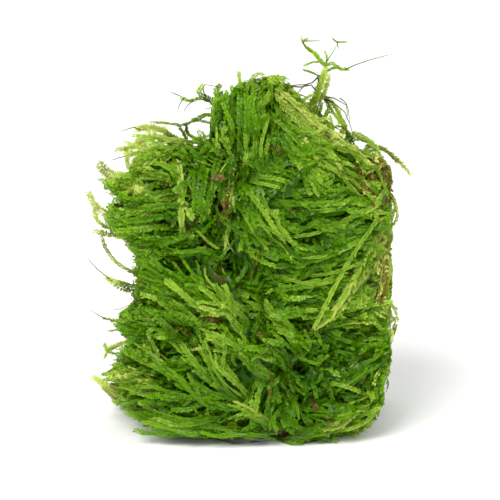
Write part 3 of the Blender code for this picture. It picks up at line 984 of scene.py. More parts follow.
def felt(tuft, grown):
    """Short fronds that lie on the mat where it would show, painted darker as shade under the others."""
    centres, outs, areas = places_to_grow[tuft]
    areas = areas * bare_share(tuft, grown)
    count = round(areas.sum() / FELT_AREA[side_of(tuft)])
    picks = dice.choice(len(areas), count, p=areas / areas.sum())
    lines, ways_out = lock_lines(
        surfaces[tuft], centres[picks], outs[picks], dice.uniform(*FELT_LENGTHS, count),
        dice.normal(0, FELT_TURN, count), dice.uniform(*FELT_LIFTS, count),
    )
    # Painted shade: felt is darker than the moss around it
    tones = nearness(centres[picks], shades) @ shades[:, 3] - FELT_PAINTED_SHADE
    tones = tones + dice.normal(0, FELT_TONES, count)
    tones[dice.random(count) < BROWN_SHARE] = BROWN
    return kept(cut_back(lines), ways_out, tones, SHORTEST_SHOOT)


# %% [markdown]
# Every tuft is planted from its locks. What is kept of each frond is only its line, the way out
# along it, its tone and its length, so the next steps can still read where the moss lies.

# %% Plant every tuft
planted = {}
for tuft in TUFTS:
    main = set_fronds(tuft)
    planted[tuft] = [("long", main), ("short", side_shoots(main)), ("short", felt(tuft, main))]
    print(tuft, [(kind, len(grown["lines"])) for kind, grown in planted[tuft]])

# %% [markdown]
# ## Placed one by one
# Some fronds stand out in the photograph, and these are placed one by one. First come single
# fronds that lie on top at the front: pale ones, the ochre patch and those round the parting. Each
# has a few places in the picture from its root to its tip, across from the left and down from the
# top in 500 steps, and a smooth curve runs through them.

# %% Single fronds on top
CROWN, UPPER, LOWER = "moss_crown", "moss_upper_left", "moss_lower_left"
RIGHT_SIDE, CORNER = "moss_right", "moss_lower_right"
# Each frond: its tuft, kind, width and tone, and its places from root to tip
ON_TOP = [
    (RIGHT_SIDE, "shoot", 0.83, 0.6, ((387, 205), (372, 227), (346, 266), (313, 330))),
    (UPPER, "shoot", 1.2, 0.7, ((183, 257), (183, 236), (181, 210), (181, 186), (179, 160))),
    (UPPER, "shoot", 1.2, 0.6, ((180, 182), (164, 176), (148, 172), (132, 166))),
    (UPPER, "shoot", 1.2, 0.34, ((181, 192), (164, 192), (146, 196), (128, 200))),
    (UPPER, "shoot", 1.3, 0.5, ((181, 204), (164, 205), (146, 208), (124, 210))),
    (UPPER, "shoot", 1.3, 0.3, ((181, 216), (164, 216), (144, 219), (120, 222))),
    (UPPER, "shoot", 1.3, 0.48, ((181, 228), (162, 227), (142, 229), (116, 231))),
    (UPPER, "shoot", 1.2, 0.32, ((181, 240), (162, 240), (146, 242), (128, 246))),
    (UPPER, "shoot", 1.1, 0.55, ((182, 250), (166, 252), (150, 256), (138, 262))),
    (UPPER, "shoot", 0.86, 0.3, ((204, 227), (207, 205), (219, 180))),
    (RIGHT_SIDE, "shoot", 0.36, 0.8, ((235, 176), (232, 191), (229, 205))),
    (RIGHT_SIDE, "shoot", 0.65, 0.64, ((239, 184), (257, 205), (285, 241))),
    (RIGHT_SIDE, "shoot", 0.58, 0.54, ((235, 198), (250, 227), (269, 252))),
    (LOWER, "shoot", 0.86, 0.66, ((209, 316), (187, 298), (169, 280))),
    (LOWER, "shoot", 0.86, 0.6, ((239, 359), (217, 341), (191, 320))),
    (LOWER, "shoot", 0.65, 0.72, ((217, 348), (202, 348), (191, 350))),
    (LOWER, "shoot", 0.83, 0.62, ((254, 398), (228, 377), (207, 355))),
    (LOWER, "shoot", 0.43, 0.7, ((206, 261), (206, 277), (222, 294))),
    (LOWER, "shoot", 0.43, 0.7, ((219, 262), (228, 280), (241, 300))),
    (LOWER, "shoot", 0.94, 0.76, ((139, 405), (117, 395), (98, 379))),
    (CORNER, "shoot", 0.79, 0.62, ((320, 382), (343, 386), (369, 395))),
    (CORNER, "shoot", 0.86, 0.68, ((331, 436), (346, 423), (365, 405))),
    (CORNER, "shoot", 0.79, 0.66, ((331, 430), (350, 429), (369, 420))),
    (CORNER, "shoot", 0.72, 0.68, ((328, 436), (339, 420), (350, 402))),
    (RIGHT_SIDE, "shoot", 0.72, 0.56, ((280, 237), (313, 234), (350, 219))),
    (RIGHT_SIDE, "shoot", 0.72, 0.54, ((294, 277), (331, 273), (372, 259))),
    (CROWN, "shoot", 0.72, 0.5, ((243, 176), (246, 148), (243, 112))),
    (CROWN, "shoot", 0.65, 0.56, ((265, 176), (261, 148), (269, 116))),
    (RIGHT_SIDE, "shoot", 1.2, 0.42, ((262, 200), (296, 204), (330, 204), (360, 198))),
    (RIGHT_SIDE, "shoot", 1.2, 0.3, ((270, 192), (300, 192), (334, 190), (364, 190))),
    (RIGHT_SIDE, "shoot", 1.2, 0.5, ((300, 222), (326, 226), (350, 218), (374, 206))),
    (RIGHT_SIDE, "shoot", 1.2, 0.4, ((288, 264), (314, 260), (338, 252), (362, 240))),
    (RIGHT_SIDE, "shoot", 1.2, 0.46, ((262, 292), (290, 288), (318, 284), (346, 272))),
    (LOWER, "shoot", 1.2, 0.56, ((262, 372), (242, 352), (222, 338), (204, 332))),
    (LOWER, "shoot", 1.2, 0.48, ((226, 396), (206, 376), (190, 356), (178, 340))),
    (LOWER, "shoot", 1.2, 0.5, ((196, 392), (176, 380), (156, 362), (138, 350))),
    (LOWER, "shoot", 1.2, 0.6, ((214, 322), (196, 306), (180, 292), (164, 280))),
    # The long pale band at the right
    (RIGHT_SIDE, "shoot", 1.7, 0.7, ((391, 205), (374, 236), (360, 268), (346, 294), (330, 318), (314, 329))),
    (RIGHT_SIDE, "shoot", 1.7, 0.68, ((391, 226), (378, 240), (364, 268), (352, 290), (338, 312))),
    (RIGHT_SIDE, "shoot", 1.2, 0.7, ((391, 250), (381, 236), (372, 246), (364, 262))),
    (RIGHT_SIDE, "sprout", 1.4, 0.68, ((391, 236), (382, 228), (373, 236))),
    (RIGHT_SIDE, "sprout", 1.4, 0.66, ((391, 256), (382, 250), (372, 254))),
    (RIGHT_SIDE, "sprout", 1.2, 0.68, ((390, 216), (383, 220), (374, 230))),
    (RIGHT_SIDE, "shoot", 0.8, 0.6, ((360, 190), (345, 202), (332, 212))),
    (RIGHT_SIDE, "shoot", 0.8, 0.64, ((386, 196), (378, 204), (364, 214))),
    (RIGHT_SIDE, "shoot", 0.9, 0.64, ((352, 314), (370, 306), (394, 301))),
    (RIGHT_SIDE, "shoot", 0.8, 0.58, ((346, 318), (366, 318), (388, 334))),
    (RIGHT_SIDE, "shoot", 0.7, 0.62, ((262, 270), (290, 280), (320, 284), (345, 276))),
    (RIGHT_SIDE, "shoot", 0.7, 0.6, ((286, 250), (310, 258), (338, 252), (360, 240))),
    # The ochre patch at the right shoulder, which also covers the end of the branch
    (RIGHT_SIDE, "sprout", 0.9, 0.93, ((390, 166), (380, 172), (370, 186))),
    (RIGHT_SIDE, "sprout", 0.8, 0.94, ((388, 176), (379, 184), (368, 194))),
    (RIGHT_SIDE, "sprout", 0.9, 0.92, ((372, 158), (380, 168), (386, 184))),
    (RIGHT_SIDE, "sprout", 0.9, 0.64, ((362, 152), (374, 158), (387, 172))),
    (RIGHT_SIDE, "sprout", 0.9, 0.6, ((356, 156), (370, 162), (384, 178))),
    (RIGHT_SIDE, "sprout", 0.8, 0.68, ((388, 186), (381, 196), (372, 208))),
    (RIGHT_SIDE, "sprout", 0.8, 0.95, ((390, 196), (384, 206), (380, 214))),
    (RIGHT_SIDE, "sprout", 0.9, 0.885, ((352, 168), (362, 172), (372, 180))),
    (RIGHT_SIDE, "sprout", 0.8, 0.9, ((350, 176), (362, 182), (374, 190))),
    (RIGHT_SIDE, "sprout", 0.8, 0.885, ((354, 186), (366, 192), (378, 200))),
    (RIGHT_SIDE, "sprout", 0.9, 0.885, ((362, 166), (372, 176), (380, 188))),
    (RIGHT_SIDE, "sprout", 0.8, 0.9, ((368, 198), (374, 206), (380, 212))),
    (RIGHT_SIDE, "sprout", 0.7, 0.76, ((346, 160), (358, 166), (370, 170))),
    (RIGHT_SIDE, "sprout", 0.6, 0.74, ((358, 176), (368, 184), (377, 194))),
    (RIGHT_SIDE, "sprout", 0.7, 0.9, ((374, 168), (368, 182), (364, 196))),
    (RIGHT_SIDE, "shoot", 0.8, 0.9, ((388, 226), (386, 250), (387, 276), (384, 300))),
    (RIGHT_SIDE, "shoot", 0.7, 0.885, ((384, 240), (380, 262), (382, 284), (376, 304))),
    (RIGHT_SIDE, "sprout", 0.9, 0.9, ((390, 300), (380, 294), (372, 286))),
    (RIGHT_SIDE, "sprout", 0.9, 0.885, ((388, 306), (378, 302), (368, 298))),
    # Around the parting between the upper left and the right
    (CROWN, "shoot", 1.3, 0.2, ((238, 148), (234, 162), (231, 180), (229, 196))),
    (CROWN, "shoot", 1.2, 0.34, ((230, 148), (229, 164), (228, 182), (226, 200))),
    (CROWN, "shoot", 1.0, 0.885, ((235, 152), (232, 168), (229, 184), (228, 202))),
    (UPPER, "shoot", 1.3, 0.28, ((216, 180), (211, 194), (206, 208), (200, 223))),
    (UPPER, "shoot", 1.4, 0.3, ((198, 160), (197, 178), (195, 198), (196, 214))),
    (UPPER, "shoot", 1.2, 0.34, ((204, 162), (204, 180), (201, 200), (198, 216))),
    (RIGHT_SIDE, "shoot", 0.45, 0.72, ((237, 180), (234, 190), (233, 202), (235, 212))),
    (RIGHT_SIDE, "shoot", 0.9, 0.64, ((236, 180), (252, 196), (264, 212), (276, 232), (292, 258))),
    (RIGHT_SIDE, "shoot", 0.7, 0.66, ((248, 222), (262, 226), (272, 236), (286, 248))),
    (RIGHT_SIDE, "shoot", 0.9, 0.54, ((230, 174), (250, 177), (272, 178), (294, 184))),
    (RIGHT_SIDE, "shoot", 0.8, 0.52, ((232, 180), (252, 182), (280, 188))),
    (CROWN, "shoot", 0.45, 0.4, ((228, 158), (224, 170), (220, 184), (222, 202))),
    (CROWN, "shoot", 0.4, 0.5, ((217, 150), (214, 164), (212, 176), (212, 188))),
    (CROWN, "shoot", 0.4, 0.46, ((232, 166), (227, 178), (226, 190), (224, 204))),
    (CROWN, "shoot", 0.45, 0.36, ((236, 172), (230, 184), (230, 196))),
    (UPPER, "shoot", 0.5, 0.65, ((190, 160), (202, 162), (216, 168))),
    (UPPER, "shoot", 0.5, 0.63, ((186, 226), (198, 232), (208, 242), (220, 250))),
    (CROWN, "bare", 2.2, BROWN, ((222, 192), (217, 206), (218, 222), (226, 230))),
    (CROWN, "bare", 2.0, BROWN, ((230, 188), (226, 200), (232, 214), (228, 226))),
    (CROWN, "bare", 2.0, BROWN, ((214, 210), (222, 214), (232, 210))),
    (CROWN, "bare", 1.8, BROWN, ((218, 198), (228, 206), (226, 220), (216, 226))),
    (CROWN, "bare", 2.0, BROWN, ((230, 158), (240, 162), (246, 170))),
    (CROWN, "bare", 2.0, BROWN, ((232, 170), (240, 168), (248, 160))),
    (UPPER, "bare", 2.6, BROWN, ((180, 253), (196, 250), (210, 252), (222, 258))),
    (CROWN, "shoot", 1.3, 0.14, ((232, 166), (231, 178), (229, 190), (226, 204))),
    (CROWN, "shoot", 1.2, 0.2, ((226, 164), (224, 178), (222, 192), (219, 206))),
    (CROWN, "shoot", 1.0, 0.24, ((246, 156), (243, 168), (240, 180), (236, 193))),
    (CROWN, "shoot", 1.3, 0.3, ((250, 158), (247, 170), (243, 183), (240, 196))),
    (CROWN, "bare", 2.6, 0.6, ((240, 154), (239, 168), (236, 180), (233, 192))),
    (RIGHT_SIDE, "shoot", 0.8, 0.6, ((230, 171), (240, 174), (252, 176), (268, 179))),
    (RIGHT_SIDE, "shoot", 1.2, 0.3, ((228, 178), (238, 182), (248, 188), (256, 198))),
    (CROWN, "bare", 2.6, 0.885, ((240, 152), (230, 160), (220, 172), (214, 186))),
    (CROWN, "bare", 2.4, 0.885, ((222, 160), (234, 164), (248, 170), (258, 172))),
    (UPPER, "bare", 2.6, 0.55, ((196, 152), (206, 158), (216, 164), (228, 168))),
    (CROWN, "bare", 2.6, 0.5, ((212, 166), (213, 180), (210, 194), (206, 210))),
    (UPPER, "shoot", 0.9, 0.3, ((222, 206), (212, 222), (200, 234), (190, 240))),
    (LOWER, "bare", 2.4, 0.885, ((228, 222), (226, 236), (232, 250), (240, 258))),
    (LOWER, "shoot", 1.1, 0.3, ((236, 212), (236, 228), (240, 240), (248, 250))),
    (CROWN, "shoot", 0.9, 0.885, ((229, 168), (227, 180), (226, 192), (224, 204))),
    (RIGHT_SIDE, "shoot", 1.1, 0.16, ((238, 176), (236, 188), (234, 200), (232, 212))),
    (CROWN, "sprout", 0.6, 0.885, ((218, 196), (224, 206), (226, 216))),
    (CROWN, "sprout", 0.5, BROWN, ((230, 200), (224, 210), (218, 222))),
    (CROWN, "sprout", 0.5, 0.2, ((214, 200), (218, 212), (226, 226))),
    (CROWN, "sprout", 0.5, 0.885, ((232, 196), (230, 208), (226, 220))),
    (CROWN, "sprout", 0.4, 0.5, ((214, 212), (222, 216), (230, 222))),
    (CROWN, "sprout", 0.6, 0.885, ((234, 156), (240, 163), (244, 172))),
    (CROWN, "sprout", 0.5, BROWN, ((246, 158), (240, 164), (234, 168))),
    (CROWN, "shoot", 0.5, 0.5, ((224, 158), (216, 170), (212, 184), (208, 200))),
    (LOWER, "sprout", 0.6, 0.7, ((221, 232), (226, 240), (225, 254))),
    (RIGHT_SIDE, "shoot", 1.0, 0.54, ((236, 238), (248, 252), (262, 262), (282, 268))),
    (RIGHT_SIDE, "shoot", 1.0, 0.5, ((234, 222), (248, 230), (264, 242), (272, 244))),
    # Down the crown
    (CROWN, "shoot", 1.2, 0.32, ((243, 148), (241, 128), (240, 108), (240, 92))),
    (CROWN, "shoot", 1.1, 0.36, ((248, 146), (247, 128), (247, 108), (246, 92))),
    (CROWN, "shoot", 1.0, 0.4, ((262, 150), (258, 130), (254, 112), (252, 94))),
    (CROWN, "shoot", 0.8, 0.5, ((266, 112), (280, 124), (294, 138), (306, 152))),
    (CROWN, "shoot", 1.1, 0.74, ((262, 84), (278, 98), (296, 114), (316, 132), (338, 148))),
    (CROWN, "shoot", 1.1, 0.78, ((268, 80), (284, 94), (302, 110), (322, 128), (344, 146))),
    (CROWN, "shoot", 1.2, 0.72, ((270, 96), (290, 112), (310, 128), (334, 146))),
    (CROWN, "shoot", 1.1, 0.78, ((290, 100), (308, 116), (328, 132), (352, 150))),
    (CROWN, "shoot", 0.8, 0.5, ((270, 130), (268, 142), (264, 156))),
]
print(len(ON_TOP), "single fronds on top")

# %% [markdown]
# Then come whole locks on top, where the photograph shows the moss combed. Each gives one middle
# line, and its fronds are spread about that line.

# %% Locks on top
# Each lock: its tuft, tone, how many fronds and how many steps of the picture they spread to each
# side, and its places from root to tip
COMBED_LOCKS = [
    # Crown: up the middle and down the slope
    (CROWN, 0.8, 14, 5, ((260, 82), (288, 102), (316, 127), (348, 149))),
    (CROWN, 0.75, 10, 5, ((264, 94), (288, 112), (312, 134), (336, 154))),
    (CROWN, 0.51, 12, 9, ((258, 102), (280, 124), (305, 144), (332, 162))),
    (CROWN, 0.45, 10, 9, ((266, 124), (284, 142), (304, 158), (330, 172))),
    (CROWN, 0.43, 12, 10, ((240, 152), (240, 128), (238, 104), (236, 84))),
    (CROWN, 0.47, 10, 8, ((264, 152), (258, 128), (256, 104), (262, 86))),
    (CROWN, 0.59, 9, 6, ((222, 152), (219, 130), (218, 106), (221, 88))),
    (CROWN, 0.53, 6, 5, ((214, 158), (208, 150), (200, 142), (190, 140))),
    # Where the crown meets the tufts under it
    (CROWN, 0.37, 9, 8, ((256, 138), (256, 150), (254, 162), (252, 173))),
    (CROWN, 0.37, 9, 8, ((270, 140), (269, 152), (268, 164), (266, 174))),
    (CROWN, 0.39, 8, 8, ((284, 146), (292, 158), (300, 168), (306, 176))),
    (CROWN, 0.37, 9, 7, ((206, 140), (214, 152), (222, 160), (234, 164))),
    (CROWN, 0.37, 9, 5, ((226, 150), (223, 166), (219, 184), (217, 202))),
    (CROWN, 0.33, 9, 6, ((240, 156), (236, 168), (231, 180), (226, 193))),
    (CROWN, 0.3, 8, 4, ((237, 154), (234, 168), (231, 182), (227, 196))),
    (CROWN, 0.3, 9, 7, ((245, 154), (243, 166), (240, 178), (236, 191))),
    (UPPER, 0.34, 8, 9, ((200, 226), (208, 236), (218, 244), (230, 248))),
    (CROWN, 0.34, 8, 5, ((226, 172), (238, 173), (250, 175), (262, 180))),
    (RIGHT_SIDE, 0.4, 9, 8, ((232, 212), (240, 226), (250, 240), (262, 250))),
    (CROWN, 0.36, 8, 8, ((222, 204), (224, 216), (228, 230), (234, 246))),
    (UPPER, 0.37, 9, 7, ((208, 160), (208, 178), (206, 196), (202, 214))),
    (RIGHT_SIDE, 0.5, 9, 5, ((226, 170), (246, 173), (268, 176), (294, 182))),
    (RIGHT_SIDE, 0.38, 12, 4, ((232, 164), (252, 166), (274, 168), (300, 176))),
    (CROWN, 0.36, 9, 8, ((248, 146), (250, 156), (252, 166), (256, 176))),
    (CROWN, 0.38, 8, 8, ((276, 150), (280, 160), (284, 170), (288, 180))),
    (UPPER, 0.31, 9, 7, ((206, 232), (196, 238), (184, 240), (170, 238))),
    # Upper left: a fan from the parting
    (UPPER, 0.71, 10, 7, ((206, 152), (180, 149), (155, 157), (130, 168))),
    (UPPER, 0.76, 9, 5, ((204, 148), (180, 142), (154, 142), (134, 150))),
    (UPPER, 0.74, 8, 6, ((176, 160), (156, 154), (138, 154), (122, 161))),
    (UPPER, 0.66, 10, 8, ((192, 174), (165, 177), (140, 181), (112, 180))),
    (UPPER, 0.62, 10, 9, ((190, 194), (165, 200), (140, 206), (112, 212))),
    (UPPER, 0.62, 8, 8, ((186, 218), (160, 224), (135, 228), (108, 232))),
    (UPPER, 0.71, 5, 4, ((182, 160), (179, 182), (180, 208), (179, 238))),
    (UPPER, 0.47, 7, 8, ((198, 158), (197, 178), (197, 198), (196, 216))),
    (UPPER, 0.51, 7, 7, ((200, 250), (180, 246), (160, 248), (138, 256))),
    # Right: long fronds that lie nearly level
    (RIGHT_SIDE, 0.35, 8, 6, ((246, 188), (285, 186), (325, 184), (365, 190))),
    (RIGHT_SIDE, 0.17, 10, 8, ((250, 202), (290, 198), (330, 195), (368, 197))),
    (RIGHT_SIDE, 0.35, 8, 5, ((262, 213), (300, 216), (340, 212), (373, 200))),
    (RIGHT_SIDE, 0.51, 5, 5, ((250, 200), (272, 220), (288, 243), (302, 262))),
    (RIGHT_SIDE, 0.35, 10, 6, ((300, 236), (325, 236), (350, 229), (374, 218))),
    (RIGHT_SIDE, 0.39, 8, 6, ((296, 251), (325, 249), (348, 241), (370, 232))),
    (RIGHT_SIDE, 0.39, 10, 7, ((290, 263), (315, 268), (340, 263), (362, 248))),
    (RIGHT_SIDE, 0.45, 8, 5, ((248, 286), (275, 281), (305, 280), (345, 270))),
    (RIGHT_SIDE, 0.37, 10, 8, ((268, 302), (300, 299), (330, 291), (352, 282))),
    (RIGHT_SIDE, 0.49, 5, 5, ((244, 240), (262, 250), (278, 256), (300, 263))),
    (RIGHT_SIDE, 0.51, 5, 4, ((240, 225), (255, 228), (272, 238), (286, 249))),
    (RIGHT_SIDE, 0.8, 13, 5, ((392, 206), (380, 228), (370, 250), (358, 278))),
    (RIGHT_SIDE, 0.8, 10, 6, ((391, 224), (385, 244), (378, 262), (369, 284))),
    (RIGHT_SIDE, 0.7, 10, 5, ((378, 246), (364, 274), (346, 300), (322, 325))),
    (RIGHT_SIDE, 0.45, 6, 4, ((346, 318), (360, 312), (376, 306), (392, 301))),
    (RIGHT_SIDE, 0.41, 9, 9, ((248, 174), (256, 188), (262, 204), (266, 222))),
    (RIGHT_SIDE, 0.37, 9, 9, ((240, 188), (248, 204), (256, 220), (262, 238))),
    # Lower left: roots at the lower right and tips at the upper left
    (LOWER, 0.61, 6, 7, ((304, 354), (286, 327), (266, 311), (248, 300))),
    (LOWER, 0.59, 4, 4, ((312, 362), (298, 342), (280, 326), (262, 312))),
    (LOWER, 0.57, 8, 9, ((262, 346), (233, 318), (207, 291), (182, 279))),
    (LOWER, 0.59, 6, 6, ((300, 386), (280, 361), (252, 350), (225, 345))),
    (LOWER, 0.49, 8, 9, ((290, 406), (262, 376), (236, 351), (218, 331))),
    (LOWER, 0.61, 4, 4, ((262, 408), (241, 386), (222, 363), (208, 350))),
    (LOWER, 0.49, 8, 9, ((250, 413), (228, 397), (208, 366), (193, 322))),
    (LOWER, 0.49, 8, 9, ((230, 411), (205, 395), (185, 376), (165, 360))),
    (LOWER, 0.51, 8, 9, ((206, 361), (185, 345), (165, 331), (140, 325))),
    (LOWER, 0.45, 8, 8, ((202, 331), (178, 319), (158, 313), (130, 316))),
    (LOWER, 0.49, 8, 8, ((190, 300), (170, 292), (152, 290), (134, 292))),
    (LOWER, 0.61, 8, 6, ((196, 386), (170, 370), (145, 353), (118, 341))),
    (LOWER, 0.55, 12, 12, ((200, 416), (170, 400), (140, 386), (112, 381))),
    (LOWER, 0.51, 10, 6, ((246, 418), (205, 422), (165, 418), (128, 403))),
    (LOWER, 0.51, 10, 5, ((226, 430), (190, 432), (155, 426), (122, 414))),
    (LOWER, 0.51, 6, 5, ((282, 436), (250, 433), (215, 430), (190, 424))),
    (LOWER, 0.53, 5, 5, ((290, 430), (264, 419), (246, 411), (226, 408))),
    (LOWER, 0.42, 9, 8, ((312, 374), (302, 354), (289, 337), (272, 322))),
    (LOWER, 0.4, 9, 8, ((302, 386), (288, 367), (275, 351), (262, 336))),
    (LOWER, 0.45, 9, 8, ((258, 314), (245, 299), (233, 285), (220, 270))),
    (RIGHT_SIDE, 0.38, 9, 8, ((226, 270), (236, 284), (250, 293), (270, 297))),
    (RIGHT_SIDE, 0.66, 8, 7, ((390, 284), (377, 290), (363, 297), (348, 306))),
    # Lower right: spread from the foot
    (CORNER, 0.36, 9, 8, ((284, 354), (298, 348), (314, 343), (334, 338))),
    (CORNER, 0.4, 8, 8, ((296, 372), (306, 360), (318, 350), (334, 344))),
    (CORNER, 0.32, 9, 9, ((286, 392), (290, 408), (294, 422), (302, 436))),
    (LOWER, 0.37, 9, 9, ((280, 392), (272, 408), (266, 420), (262, 434))),
    (CORNER, 0.64, 3, 2, ((308, 381), (325, 383), (346, 388), (369, 396))),
    (CORNER, 0.46, 8, 8, ((310, 396), (330, 380), (352, 365), (378, 346))),
    (CORNER, 0.5, 3, 3, ((318, 388), (322, 374), (330, 360), (328, 350))),
    (CORNER, 0.36, 8, 6, ((304, 352), (325, 347), (350, 340), (385, 335))),
    (CORNER, 0.46, 8, 8, ((308, 411), (333, 409), (355, 405), (378, 400))),
    (CORNER, 0.74, 3, 3, ((308, 428), (328, 428), (344, 420), (352, 408))),
    (CORNER, 0.7, 5, 5, ((336, 432), (352, 426), (368, 415), (380, 404))),
    (CORNER, 0.4, 6, 5, ((280, 438), (300, 434), (320, 432), (336, 428))),
    (CORNER, 0.6, 4, 4, ((348, 392), (362, 373), (373, 353), (386, 341))),
]
print(len(COMBED_LOCKS), "locks on top")

# %% [markdown]
# Last come the strays: the sprig over the crown with its net of shoots, loose shoots at both sides,
# and old stems. Nothing lies behind most of them, so each one has its own depth in millimetres,
# less than 0 towards the camera.

